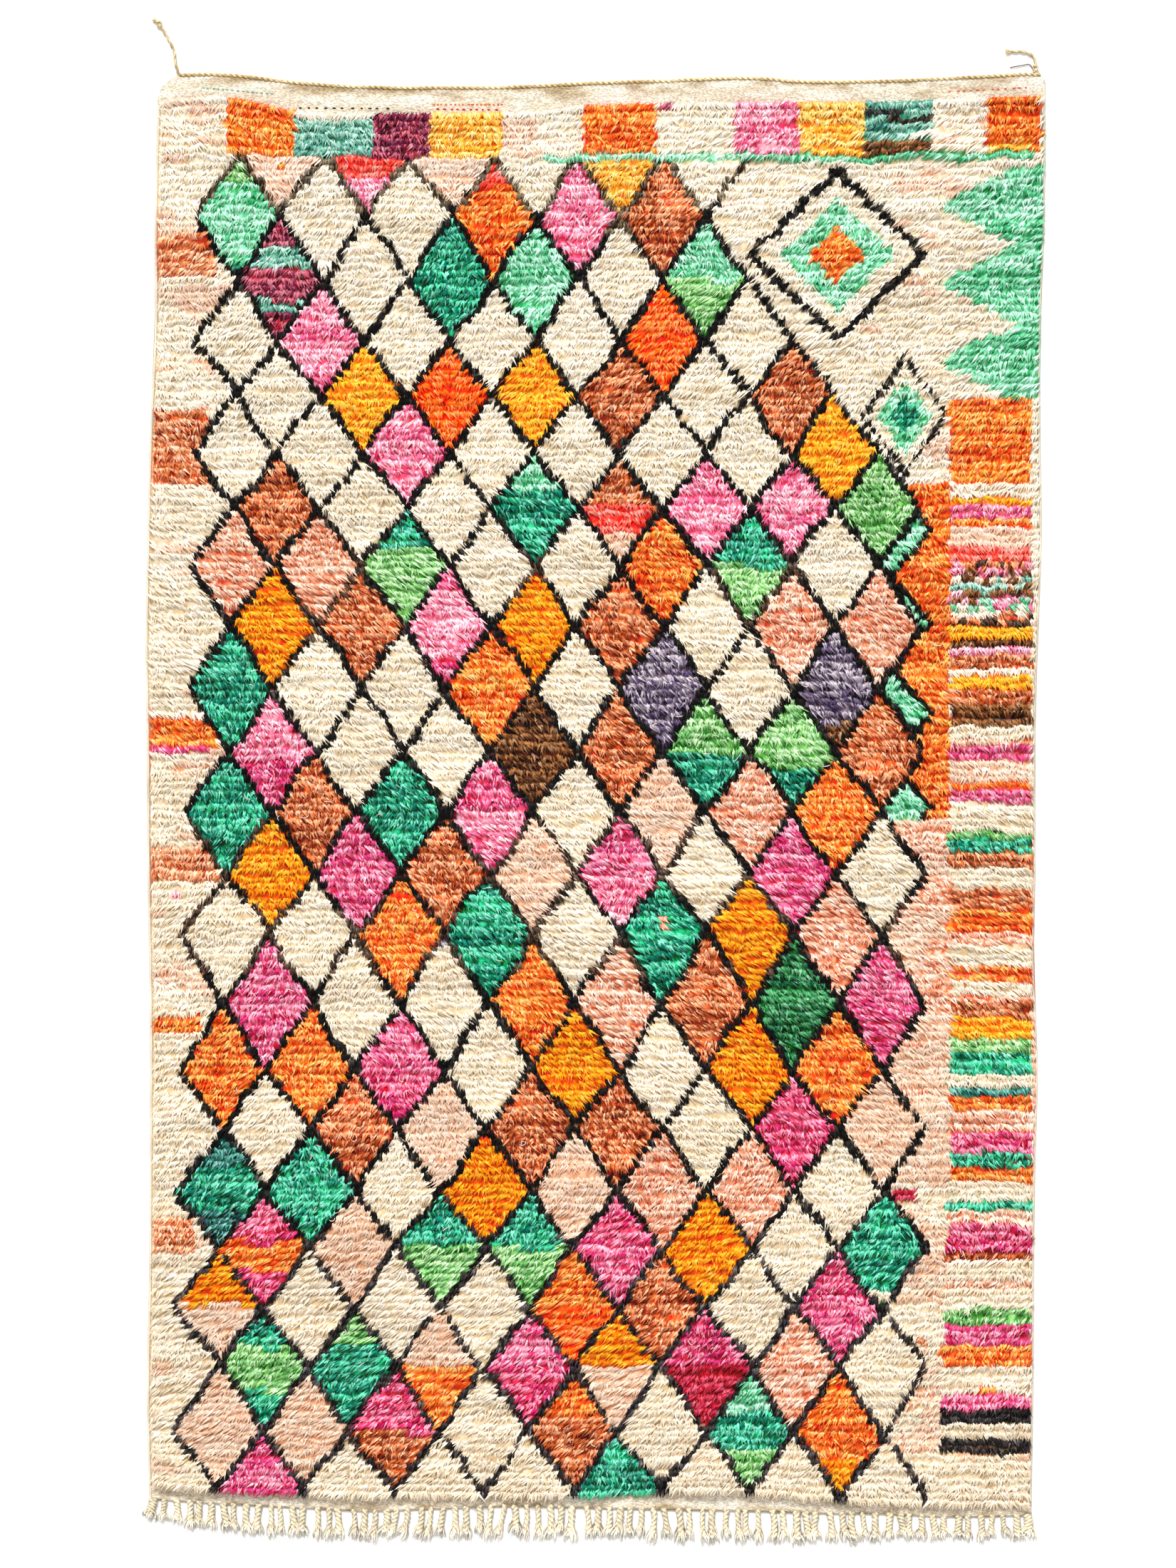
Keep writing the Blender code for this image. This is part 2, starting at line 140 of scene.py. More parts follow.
# Chance numbers from keys: their weights, and how fast they turn over
SCATTER_WEIGHTS = (12.9898, 78.233, 37.719, 91.17)
SCATTER_PACE = 43758.5453

# How far each side stands out past HALF_WIDTH, down the length of the rug
SideRow = namedtuple("SideRow", "y left right")
SIDES = [
    SideRow(1.220, -0.012, 0.015),
    SideRow(1.034, -0.007, 0.014),
    SideRow(0.848, -0.007, 0.007),
    SideRow(0.662, 0.001, 0.006),
    SideRow(0.476, 0.006, 0.009),
    SideRow(0.290, 0.009, 0.002),
    SideRow(0.104, 0.007, -0.003),
    SideRow(-0.082, 0.006, -0.002),
    SideRow(-0.268, 0.003, -0.005),
    SideRow(-0.454, 0.001, 0.002),
    SideRow(-0.640, 0.002, -0.003),
    SideRow(-0.826, 0.003, -0.005),
    SideRow(-1.012, 0.007, -0.006),
    SideRow(-1.198, 0.003, -0.009),
]

# How the ends wander across the rug, and how wide each flat-woven band is before the pile starts
EndRow = namedtuple("EndRow", "x heading_edge heading_band fringe_band fringe_edge")
ENDS = [
    EndRow(-0.760, 0.010, 0.049, 0.025, 0.017),
    EndRow(-0.640, 0.011, 0.042, 0.023, 0.009),
    EndRow(-0.520, -0.002, 0.055, 0.024, 0.003),
    EndRow(-0.400, -0.010, 0.051, 0.026, -0.003),
    EndRow(-0.270, -0.011, 0.049, 0.022, 0.001),
    EndRow(-0.140, -0.010, 0.048, 0.017, 0.005),
    EndRow(0.000, -0.003, 0.044, 0.022, 0.002),
    EndRow(0.130, 0.001, 0.043, 0.031, -0.001),
    EndRow(0.260, 0.006, 0.046, 0.033, -0.003),
    EndRow(0.380, -0.001, 0.039, 0.026, -0.007),
    EndRow(0.500, 0.000, 0.040, 0.019, -0.008),
    EndRow(0.620, 0.005, 0.039, 0.020, -0.013),
    EndRow(0.740, 0.012, 0.042, 0.015, -0.011),
    EndRow(0.775, 0.012, 0.042, 0.012, -0.009),
]

# Reach of the fringe past the cloth, and how far its tips lean to +X, across the rug
FringeRow = namedtuple("FringeRow", "x reach lean")
FRINGE = [
    FringeRow(-0.78, 0.034, -0.014),
    FringeRow(-0.70, 0.045, 0.000),
    FringeRow(-0.56, 0.054, 0.001),
    FringeRow(-0.38, 0.050, -0.007),
    FringeRow(-0.20, 0.054, -0.009),
    FringeRow(0.00, 0.056, -0.004),
    FringeRow(0.22, 0.055, 0.002),
    FringeRow(0.42, 0.051, 0.004),
    FringeRow(0.60, 0.042, 0.003),
    FringeRow(0.77, 0.042, 0.004),
]

# Routes of the loose cord ends on the floor, from the heading outwards
RoutePoint = namedtuple("RoutePoint", "x y")
LEFT_CORD_ROUTE = [
    RoutePoint(-0.7245, 1.2808),
    RoutePoint(-0.7255, 1.2875),
    RoutePoint(-0.7290, 1.2985),
    RoutePoint(-0.7310, 1.3175),
    RoutePoint(-0.7370, 1.3330),
    RoutePoint(-0.7465, 1.3500),
    RoutePoint(-0.7575, 1.3665),
    RoutePoint(-0.7625, 1.3715),
]
RIGHT_CORD_ROUTE = [
    RoutePoint(0.7680, 1.2823),
    RoutePoint(0.7690, 1.2880),
    RoutePoint(0.7705, 1.2955),
    RoutePoint(0.7690, 1.3045),
    RoutePoint(0.7630, 1.3130),
    RoutePoint(0.7530, 1.3175),
    RoutePoint(0.7400, 1.3195),
    RoutePoint(0.7240, 1.3180),
]

# The thin thread caught in the right cord
THREAD_ROUTE = [
    RoutePoint(0.7654, 1.2890),
    RoutePoint(0.7590, 1.2962),
    RoutePoint(0.7480, 1.2950),
    RoutePoint(0.7254, 1.2908),
]
THREAD_RADIUS = 0.0009
THREAD_SHADES = ("4c4440", "786c66")

# Which way the pile was brushed: how far its tips lie to +X for each metre that they reach down the rug
BrushRow = namedtuple("BrushRow", "y left middle right")
BRUSHED = [
    BrushRow(1.22, 0.3, -0.3, -0.5),
    BrushRow(1.00, -0.3, -0.3, -0.8),
    BrushRow(0.70, 0.2, -0.3, -0.5),
    BrushRow(0.40, 0.9, 0.7, 0.1),
    BrushRow(0.10, 0.2, 0.6, 0.4),
    BrushRow(-0.20, -0.4, 1.0, 1.0),
    BrushRow(-0.50, -0.6, 0.7, 0.6),
    BrushRow(-0.85, -1.0, -1.0, -0.2),
    BrushRow(-1.25, -1.0, -0.3, 0.3),
]

# Wool colours: each yarn is spun unevenly from a main shade and a second one
Yarn = namedtuple("Yarn", "main second")
YARNS = {
    "cream": Yarn("f8f1e4", "ecdfc8"),
    "blush": Yarn("f4e0d0", "ecc9b0"),
    "peach": Yarn("e89c74", "f8e0cc"),
    "terracotta": Yarn("ae4010", "fcb47c"),
    "clay": Yarn("cc6028", "fccca0"),
    "orange": Yarn("e65008", "fcba50"),
    "deep_orange": Yarn("f45800", "fc9840"),
    "marigold": Yarn("fcc828", "f8a814"),
    "amber": Yarn("f8b414", "ec8000"),
    "yellow": Yarn("f8b82c", "fce488"),
    "red": Yarn("ee3c28", "f89080"),
    "pink": Yarn("d82870", "f8aec8"),
    "rose": Yarn("ea5c90", "fcd2de"),
    "magenta": Yarn("cc1058", "fc9cbc"),
    "crimson": Yarn("b40824", "dc3c5c"),
    "mint": Yarn("54c48c", "ccf8e4"),
    "leaf": Yarn("5cac50", "c4ecb0"),
    "emerald": Yarn("006a4e", "60e4bc"),
    "forest": Yarn("04522c", "48a864"),
    "teal": Yarn("184c4a", "58b0a0"),
    "sage": Yarn("58a894", "bce6d6"),
    "burgundy": Yarn("680a2e", "d8647c"),
    "indigo": Yarn("48345a", "cabcc8"),
    "brown": Yarn("48200a", "a0602e"),
    "black": Yarn("010101", "0a0807"),
    "charcoal": Yarn("100c0d", "2e2627"),
    "umber": Yarn("1c110c", "503828"),
    "faded": Yarn("403224", "7c684c"),
}
YARN_NAMES = list(YARNS)
YARN_NUMBER = {name: number for number, name in enumerate(YARN_NAMES)}

# How far chance turns a yarn from its main shade to its second, and how far it darkens or lightens it
ROW_DYE = 1.056
KNOT_DYE = 0.768
END_DYE = 1.728
ROW_TONE = 0.18
KNOT_TONE = 0.12

# The few palest ends, lightened as painted highlights, and the deepest ends: their chance, the share of a
# lighter tint, and the power that deepens
HIGHLIGHT_CHANCE = 1 / 4
HIGHLIGHT_ENDS = 0.8
HIGHLIGHT_LEAST = 0.4
DEEP_CHANCE = 1 / 3
DEEP_ENDS = 2.2
DEEP_LEAST = 0.5

# The undyed yarns: their share of every deeper shade, and the red, green and blue that they lose, row by
# row, towards the fringe
PALE_YARNS = [YARN_NUMBER["cream"], YARN_NUMBER["blush"]]
PALE_YARN_DEPTH = 0.2
FRINGEWARD_LOSS = (0.06, 0.10, 0.15)

# The first number of each kind of patch in the chart. A patch's number gives it a chance dye of its own.
LINE_PATCH = 1
TEETH_PATCH = 20
MOTIF_PATCHES = 30
MOTIF_PATCH_STEP = 4
ZIGZAG_PATCHES = 60
LOZENGE_PATCHES = 100
BAR_PATCHES = 600
BLOCK_PATCHES = 700
BORDER_PATCHES = 800
SPOT_PATCHES = 900

# The lozenge chart. Each row of lozenges has its middle so many knot rows below the start of the pile.
# The first row starts at the second column and the next at the first, by turns, and each takes every
# other column.
# A lozenge of several yarns changes from the first to the last, top to bottom.
LozengeRow = namedtuple("LozengeRow", "middle yarns")
LOZENGES = [
    LozengeRow(7.0, "blush rose>rose>rose>red>rose>rose blush cream yellow cream"),
    LozengeRow(15.8, "leaf>mint>mint>mint>emerald cream cream red>orange>orange>orange rose terracotta"),
    LozengeRow(24.3, "burgundy>burgundy>sage>burgundy>burgundy>sage>burgundy>sage"
               " cream emerald mint cream mint>leaf"),
    LozengeRow(33.1, "cream rose cream cream cream deep_orange cream"),
    LozengeRow(40.6, "cream marigold deep_orange marigold terracotta cream terracotta"),
    LozengeRow(48.8, "cream cream rose cream cream cream cream marigold"),
    LozengeRow(56.5, "terracotta cream cream mint>emerald>emerald"
               " terracotta>terracotta>red>blush rose rose leaf"),
    LozengeRow(64.6, "peach peach emerald>leaf>leaf cream cream orange emerald>leaf cream"),
    LozengeRow(73.1, "amber terracotta rose>rose>rose>pink amber terracotta cream peach peach"),
    LozengeRow(81.8, "emerald cream cream orange cream indigo cream indigo>indigo>indigo>brown"),
    LozengeRow(90.8, "rose>pink cream cream brown terracotta leaf>emerald leaf>leaf>emerald terracotta"),
    LozengeRow(99.1, "emerald terracotta emerald rose>pink>rose>pink cream blush peach orange"),
    LozengeRow(107.8, "amber pink terracotta blush pink>rose cream pink cream"),
    LozengeRow(116.3, "cream cream orange emerald cream emerald amber peach"),
    LozengeRow(126.1, "pink cream cream orange peach terracotta forest pink"),
    LozengeRow(135.2, "orange orange pink>magenta cream amber cream amber orange"),
    LozengeRow(143.6, "cream terracotta blush terracotta terracotta cream magenta blush"),
    LozengeRow(152.4, "teal>emerald>teal emerald cream amber blush peach peach cream"),
    LozengeRow(160.5, "magenta>magenta>orange>magenta>magenta blush emerald>leaf emerald>leaf magenta>pink"
               " amber cream emerald>emerald>emerald>emerald>emerald>emerald>emerald>emerald>cream>mint"),
    LozengeRow(168.9, "amber>blush cream cream cream orange>deep_orange terracotta cream magenta>pink"),
    LozengeRow(177.0, "emerald>leaf>emerald leaf>emerald>emerald blush>orange pink>magenta amber>blush"
               " magenta>magenta>crimson>crimson peach cream"),
    LozengeRow(186.3, "blush blush magenta>terracotta cream orange>terracotta>terracotta cream"
               " mint>emerald>leaf orange>orange>orange>amber"),
    LozengeRow(194.8, "pink cream cream cream emerald cream cream cream"),
]
COLUMN_COUNT = 16
SLICES = 12

# Knots from the left side to the middles of the first and last columns, at two heights
ColumnPlace = namedtuple("ColumnPlace", "row first last")
COLUMNS_HIGH = ColumnPlace(16.5, 24.8, 203.8)
COLUMNS_LOW = ColumnPlace(187.4, 18.8, 206.0)
LINE_HALF_WIDTH = 1.12
LATTICE_TOP = 6.6

# Rows where the weaver's black ran out, and how worn a line is there to be brown
WornRows = namedtuple("WornRows", "top bottom least_wear")
WORN_ROWS = [WornRows(100, 122, 0.02), WornRows(62, 84, 0.25)]

# Row where charcoal takes the black's place, and row above which the lines are faded, each with its sway
CHARCOAL_START = 158
CHARCOAL_SWAY = 6
FADED_END = 15
FADED_SWAY = 5

# The cream ground turns to blush in clouds. Beside the bars a field of blush and peach fades downwards.
BLUSH_FROM = 0.42
FIELD_START = 100.8
FIELD_LEFT = 205
FIELD_FADE = 60
FIELD_BLUSH_MIDDLE = 171
FIELD_PEACH_MIDDLE = 122

# Blocks along the first rows of the pile, in knots across and rows down
Block = namedtuple("Block", "left right top yarn")
BLOCKS = [
    Block(21.4, 40.4, 0, "orange"),
    Block(40.4, 62.8, 1, "sage"),
    Block(62.8, 78.4, 0, "burgundy"),
    Block(78.4, 98.8, 0, "yellow"),
    Block(121.6, 142.0, 0, "orange"),
    Block(164.0, 182.2, 0, "rose"),
    Block(182.2, 200.6, 0, "yellow"),
    Block(200.6, 219.8, 0, "sage"),
    Block(235.0, 250.0, 0, "orange"),
]
MINT_ROW_START = 110
MINT_ROW_END = 248

# The plain motifs of the panel at the upper right, in knots and rows
PanelLozenge = namedtuple("PanelLozenge", "knot row half_knots half_rows ring heart")
PANEL_LOZENGES = [
    PanelLozenge(193, 21, 26, 12.5, "mint", "orange"),
    PanelLozenge(212, 43.5, 12.5, 8.5, "mint", "emerald"),
]
PANEL_FIRST_COLUMN = 6
PANEL_END = 100.5

# Sizes of a panel lozenge's outline, its cream, its ring and its heart
RING_SHARES = (1.0, 0.88, 0.62, 0.32)

# The panel's zigzag edges: from a first row, a knot to start at, how far they reach, and rows in a turn
Zigzag = namedtuple("Zigzag", "start knot reach rows")
TEETH = Zigzag(8.5, 243, -22, 11)
LOW_ZIGZAG = Zigzag(53.0, 208, 11, 13)

# Patches of leftover yarn in the cream border on the left
Patch = namedtuple("Patch", "top bottom left right yarn")
PATCHES = [
    Patch(18.3, 24.5, 0, 18.8, "clay"),
    Patch(42.9, 53.3, 0, 17.0, "clay"),
    Patch(85.8, 89.8, 0, 18.4, "orange"),
    Patch(89.8, 90.8, 0, 16.2, "pink"),
    Patch(104.0, 108.9, 0, 20.2, "clay"),
    Patch(121.6, 122.6, 0, 12.0, "blush"),
    Patch(127.5, 130.2, 0, 14.4, "orange"),
    Patch(156.2, 160.9, 0, 12.6, "clay"),
    Patch(152.4, 154.0, 205.6, 215.0, "crimson"),
    Patch(172.6, 174.0, 215.4, 217.8, "terracotta"),
]

# Spots of a few odd knots, over whatever lies there
SPOTS = [
    Patch(1.0, 2.0, 200.6, 211.0, "charcoal"),
    Patch(2.0, 3.0, 207.0, 219.8, "umber"),
    Patch(3.0, 4.0, 200.6, 208.0, "teal"),
    Patch(4.0, 5.0, 213.0, 219.8, "cream"),
    Patch(5.0, 6.6, 200.6, 219.8, "brown"),
    Patch(5.6, 6.6, 235.0, 247.5, "yellow"),
    Patch(0.3, 1.3, 142.5, 147.2, "burgundy"),
    Patch(5.2, 6.2, 85.0, 98.0, "marigold"),
    Patch(8.3, 9.3, 36.0, 37.6, "orange"),
    Patch(110.3, 111.3, 6.0, 8.6, "rose"),
    Patch(114.4, 115.6, 143.0, 145.2, "peach"),
    Patch(116.8, 118.4, 82.0, 83.4, "indigo"),
    Patch(178.7, 179.5, 234.4, 235.8, "deep_orange"),
    Patch(179.5, 180.6, 233.0, 237.2, "orange"),
]

# Bars along the right side, top to bottom, with their heights in knot rows
Bar = namedtuple("Bar", "rows yarn")
BARS_START = 41.3
BARS_LEFT = 224.5
BARS_RIGHT = 247.5
MIXED_YARNS = "terracotta rose brown blush sage brown rose mint cream terracotta umber".split()
BARS = [
    Bar(12.0, "orange"), Bar(1.5, "cream"), Bar(1.7, "marigold"), Bar(1.5, "pink"), Bar(1.3, "orange"),
    Bar(2.7, "blush"), Bar(1.8, "red"), Bar(9.5, "mixed"), Bar(1.5, "marigold"), Bar(1.5, "brown"),
    Bar(1.2, "rose"), Bar(1.6, "terracotta"), Bar(0.9, "cream"), Bar(1.6, "marigold"),
    Bar(2.7, "terracotta"), Bar(2.5, "brown"), Bar(2.0, "cream"), Bar(1.7, "peach"), Bar(1.4, "pink"),
    Bar(3.2, "blush"), Bar(1.0, "deep_orange"), Bar(1.8, "pink"), Bar(4.1, "cream"), Bar(1.0, "leaf"),
    Bar(1.7, "emerald"), Bar(2.2, "terracotta"), Bar(3.4, "cream"), Bar(2.5, "terracotta"),
    Bar(3.2, "orange"), Bar(1.6, "peach"), Bar(2.9, "cream"), Bar(2.4, "orange"), Bar(1.7, "cream"),
    Bar(1.1, "peach"), Bar(2.6, "terracotta"), Bar(2.5, "marigold"), Bar(2.6, "leaf"), Bar(3.0, "emerald"),
    Bar(1.3, "cream"), Bar(1.6, "teal"), Bar(1.6, "orange"), Bar(3.4, "peach"), Bar(2.7, "magenta"),
    Bar(1.8, "emerald"), Bar(2.5, "orange"), Bar(2.6, "cream"), Bar(1.5, "emerald"), Bar(1.3, "peach"),
    Bar(4.0, "magenta"), Bar(1.6, "terracotta"), Bar(2.4, "cream"), Bar(1.4, "peach"), Bar(2.6, "cream"),
    Bar(2.7, "leaf"), Bar(2.7, "pink"), Bar(2.6, "orange"), Bar(4.3, "cream"), Bar(1.8, "pink"),
    Bar(2.6, "charcoal"), Bar(1.8, "cream"), Bar(1.7, "charcoal"),
]

# Row where the bars start to widen, rows for each knot that they widen by, and the most knots
BARS_WIDEN_START = 150
BARS_WIDEN_ROWS = 12
BARS_WIDEN_MOST = 3.5

# A yarn end: where along it the top of its arch is, its width and roll, and its reach from root to tip
BELLY_PLACE = 0.38
END_WIDTH = 0.0032
WIDTH_SCATTER = 0.5
END_ROLL = 0.0052
END_RUN = 0.0205
RUN_SCATTER = 0.25
ROOT_BACK = 0.0083

# A yarn end's face in its quarter of the UV square: its middle and width, and its foot and length
FACE_MIDDLE = 0.25
FACE_WIDTH = 0.4
FACE_FOOT = 0.04
FACE_LENGTH = 0.42

# How far an end starts and stops below its arch's top. Where the pile was brushed flat, tips stay up.
ROOT_DEPTH = 0.0062
TIP_DEPTH = 0.0031
LEAST_TIP_DEPTH = 0.001

# How the tops of knots and ends differ in height, and how far a knot's rim lies below its middle
KNOT_TOP_SCATTER = 0.0012
END_TOP_SCATTER = 0.0024
KNOT_ROUND = 0.0006

# The pile is lower along its sides, over so many metres and by such a share
EDGE_WIDTH = 0.020
EDGE_DROP = 0.30

# The lean of the ends, past their brushing: by knot and by end, less in the dark lines, and at most.
# A leaning end is shorter, lies partly behind its knot, and is held back along the sides.
KNOT_LEAN = 0.7
END_LEAN = 1.5
LINE_LEAN = 0.4
MOST_LEAN = 1.7
LEAN_SHORTENS = 0.16
LEAN_AT_ROOT = 0.4
SIDE_GAP = 0.004
SIDE_FADE = 0.03
HELD_LEFT = 0.65
HELD_RIGHT = 0.8

# The bed of wool under the ends
BED_DEPTH = 0.0042
BED_COLUMNS = 249
BED_RIM_DEPTH = 0.0005

# Painted light: how much deeper a yarn's colour is in the bed, at an end's root, belly and tip, and at a
# knot's rim. Powers over 1 are painted shade, and the belly's power under 1 is a painted highlight.
BED_SHADE = 2.1
ROOT_SHADE = 2.1
BELLY_HIGHLIGHT = 0.71
TIP_SHADE = 2.15
KNOT_RIM_SHADE = 0.2

# The finishes of the wool, and its grain: a fine noise from low to high, with its tones and its relief
Finish = namedtuple("Finish", "roughness sheen gloss")
PILE_FINISH = Finish(0.6, 0.0, 0.15)
CORD_FINISH = Finish(0.9, 0.1, 0.2)
Grain = namedtuple("Grain", "scale detail low high dark pale strength depth")
FIBRE_GRAIN = Grain(
    scale=420.0, detail=2.0, low=0.3, high=0.7, dark=0.86, pale=1.10, strength=0.5, depth=0.0006,
)
WEFT_GRAIN = Grain(
    scale=1.0, detail=1.0, low=0.35, high=0.62, dark=0.66, pale=1.14, strength=0.8, depth=0.0010,
)
WEFT_SCALE = (210.0, 430.0, 210.0)
WEFT_SLANT = 0.6

# The ground cloth and its two woven bands. It stops under the heading cord, short of the edge by a share
# of the cord's thickness.
SHEET_THICKNESS = 0.0024
CLOTH_COLUMNS = 150
CLOTH_ROWS = 20
HEADING_BAND_ROWS = 12
FRINGE_BAND_ROWS = 9
BUCKLE_FADE = 1 / 4
CORD_SEAT = 0.6

# A length next to nothing, safe to divide by
TINY = 1e-9

# The woven bands' greige, taupe and pale yarns, and how they darken and pale from the edge inwards
BAND_SHADES = ("e2d3bc", "a89066", "f4ecdc")
FRINGE_WEAR_PACE = 2.0
RIM_REACH = 0.009
RIM_START = 1.3
RIM_DARK = 0.5
WEAR_REACH = 0.04
WEAR_START = 0.35
WEAR_MOST = 0.9
WEAR_DARKENS = 1.3
WEAR_PALES = 1.6
PALE_START = 0.1
PILE_LAP = 0.002

# Rows of coloured stitches across the heading's band
StitchRow = namedtuple("StitchRow", "x0 y0 x1 y1 pitch yarn")
STITCHES = [
    StitchRow(-0.6845, 1.2561, -0.5556, 1.2450, 0.0085, "sage"),
    StitchRow(-0.5180, 1.2205, -0.3385, 1.2190, 0.0150, "umber"),
    StitchRow(-0.2840, 1.2264, -0.1530, 1.2262, 0.0075, "deep_orange"),
    StitchRow(-0.2760, 1.2185, -0.1600, 1.2170, 0.0110, "crimson"),
    StitchRow(0.6160, 1.2487, 0.7700, 1.2570, 0.0120, "red"),
]
STITCH_LENGTH = 0.0055
STITCH_REACH = (0.6, 1.1)
STITCH_GAP = (0.1, 0.5)
STITCH_RADIUS = 0.0014
STITCH_PLACES = (0.0, 0.25, 0.75, 1.0)
STITCH_SWELL = (0.4, 1.0, 1.0, 0.4)
STITCH_SEED = 300

# Stray fibres that curl on top of the pile in the lower part of the rug
STRAY_COUNT = 110
STRAY_X = (-0.72, 0.66)
STRAY_Y = (-1.16, 0.35)
STRAY_BEND = 3.5
STRAY_LENGTH = 0.020
STRAY_REACH = (0.5, 1.0)
STRAY_RADIUS = 0.0006
STRAY_SWELL = (0.5, 1, 1, 1, 1, 1, 0.8, 0.4)
STRAY_LIFT = 0.0012
STRAY_SHADES = ("f8f0e6", "e6d2c4")
STRAY_YARNS = "emerald leaf pink magenta rose terracotta orange marigold indigo".split()
STRAY_SEED = 77

# Tubes and routes: the unit radius, how near two points merge, and the steps between a route's points
TUBE_RADIUS = 0.001
MERGE_DISTANCE = 0.00001
ROUTE_STEPS = 40

# Plies: how many a cord has, and how far each lies from its middle, as a share of its radius
PLIES = 2
PLY_OFFSET = 0.46
CORNER_PLY_OFFSET = 0.44

# Painted shade on a cord, darker towards the floor where its plies meet: its tone there, the gain up its
# thickness, and the least and most
Shading = namedtuple("Shading", "low gain least most")
HEADING_SHADING = Shading(0.65, 0.55, 0.0, 1.15)
TASSEL_SHADING = Shading(0.45, 0.40, 0.4, 1.1)
CORNER_SHADING = Shading(0.5, 0.6, 0.0, 1.1)

# The heading cord, with painted shade in the dark waists of its twining
HEADING_STEP = 0.0018
HEADING_PITCH = 0.0180
HEADING_SHADES = ("b89c6c", "f0dcb0")
HEADING_LEFT_LAP = 0.008
HEADING_RIGHT_LAP = 0.003
NUB_PITCH = 0.0110
NUB_SHADE = 0.28

# The corded sides, overcast in ribs
RIB_PITCH = 0.0040
RIB_WAIST = 0.80
SELVEDGE_RADIUS = 0.0026
SELVEDGE_LIFT = 0.0004
SELVEDGE_FOOT = 0.012
SELVEDGE_TIP = 0.5
SELVEDGE_SHADES = ("cfc5ae", "f0e8d6")

# The tassels: a twisted body that opens into a tuft
TASSEL_KINDS = 7
TASSEL_SEED = 500
TASSEL_BOW = 0.0060
BOW_SEED = 41
TASSEL_LENGTH = 0.052
TASSEL_BODY = (-0.06, 0.80)
TASSEL_STEPS = 15
TASSEL_RADIUS = 0.0046
TASSEL_SWELL = 0.10
TASSEL_SWELL_PACE = 9
TASSEL_PITCH = 0.0150
# Painted shade along the twist of the tassel's plies
TASSEL_TWIST_SHADE = 0.22
TASSEL_WIDTHS = (1.15, 1.75)
CORNER_TASSEL_WIDTH = 2.1
TASSEL_TONES = (0.9, 1.1)
FRINGE_SHADES = ("e2d4b6", "fbf4e6")
TUFT_START = 0.62
TUFT_FADE = 0.2

# A tassel's loose fibres: where they start and end along it, and how they spread, curl and rise
TASSEL_FIBRES = 13
TASSEL_FLARE = 0.0078
FIBRE_SPREAD = 0.12
FIBRE_START = (0.30, 0.66)
FIBRE_END = (0.82, 1.02)
FIBRE_BULGE = 0.62
FIBRE_CURL = 0.0008
FIBRE_RISE = (-0.8, 0.9)
FIBRE_ARCH = 0.8
TUFT_RADIUS = 0.0008
TUFT_SWELL = (0.8, 1.1, 1.2, 0.9, 0.35)
LEAST_HEIGHT = 0.0007

# The loose cord ends, which taper to their tips
CORNER_STEP = 0.0015
CORNER_PITCH = 0.0250
CORNER_TAPER = 0.006
CORNER_TIP = 0.5
RIGHT_CORD_TURN = 0.15
CORD_SHADES = ("b79a69", "f4e4c0")

# Their frayed tips: how the fibres reach, spread and curl, and how they rise and sag
FRAY_FIBRES = 22
FRAY_LENGTH = 0.0085
FRAY_REACH = (0.55, 1.0)
FRAY_ROOT = 0.004
FRAY_SPREAD = 0.0042
FRAY_ARCH = 0.55
FRAY_CURL = 0.0012
FRAY_CURLS = 5
FRAY_TURN = 6
FRAY_RISE = (-0.9, 0.8)
FRAY_SAG = 2.4
FRAY_TONE = 1.08
FRAY_RADIUS = 0.00075
FRAY_SWELL = (0.9, 1.1, 1.1, 1.0, 0.8, 0.3)
FRAY_SEED = 9

# The knots on them, with each one's share of the way along its cord
KNOT_RADIUS = 0.0026
KNOT_TURNS = 1.4
KNOT_POINTS = 18
KNOT_GROWTH = 0.10
KNOT_RISE = 0.0004
KNOT_TUBE = 0.30
LEFT_KNOT_SHARE = 0.93
RIGHT_KNOT_SHARE = 0.10

# The room: a pale floor, a soft sun from beyond the heading, and an even fill
FLOOR_SIZE = 60
FLOOR_Z = -0.0004
FLOOR_COLOUR = (0.92, 0.92, 0.91, 1)
FLOOR_ROUGHNESS = 0.9
SUN_STRENGTH = 3.2
SUN_WIDTH = 18
SUN_TURN = (-46, -12, 0)
FILL_COLOUR = (1.0, 0.985, 0.96, 1)
FILL_STRENGTH = 0.74

# The camera straight above: the length in view, the middle of the view, and its height and reach
VIEW_LENGTH = 2.728
VIEW_CENTRE = (-0.0099, 0.0422)
CAMERA_HEIGHT = 9.0
CAMERA_REACH = 100
SENSOR = 36.0


def read_table(rows, key, column, at):
    """Value of a table's column at places between its rows, on a smooth curve through them."""
    places = np.array([getattr(row, key) for row in rows])
    values = np.array([getattr(row, column) for row in rows])
    if places[0] > places[-1]:
        places, values = places[::-1], values[::-1]
    at = np.clip(at, places[0], places[-1])
    last = len(places) - 1
    i = np.clip(np.searchsorted(places, at, side="right") - 1, 0, last - 1)
    before, after = np.maximum(i - 1, 0), np.minimum(i + 2, last)
    span = places[i + 1] - places[i]
    slope_in = (values[i + 1] - values[before]) / (places[i + 1] - places[before]) * span
    slope_out = (values[after] - values[i]) / (places[after] - places[i]) * span
    t = (at - places[i]) / span
    return (
        values[i] * (2 * t**3 - 3 * t**2 + 1)
        + slope_in * (t**3 - 2 * t**2 + t)
        + values[i + 1] * (3 * t**2 - 2 * t**3)
        + slope_out * (t**3 - t**2)
    )


def left_side(y):
    return -HALF_WIDTH - read_table(SIDES, "y", "left", y)


def right_side(y):
    return HALF_WIDTH + read_table(SIDES, "y", "right", y)


def heading_edge(x):
    return HEADING_Y + read_table(ENDS, "x", "heading_edge", x)


def fringe_edge(x):
    return FRINGE_Y + read_table(ENDS, "x", "fringe_edge", x)


def pile_start(x):
    return heading_edge(x) - read_table(ENDS, "x", "heading_band", x)


def pile_end(x):
    return fringe_edge(x) + read_table(ENDS, "x", "fringe_band", x)


def ramp(value, length):
    """How far a value has come from 0 to a length, from 0 to 1."""
    return np.clip(value / length, 0, 1)


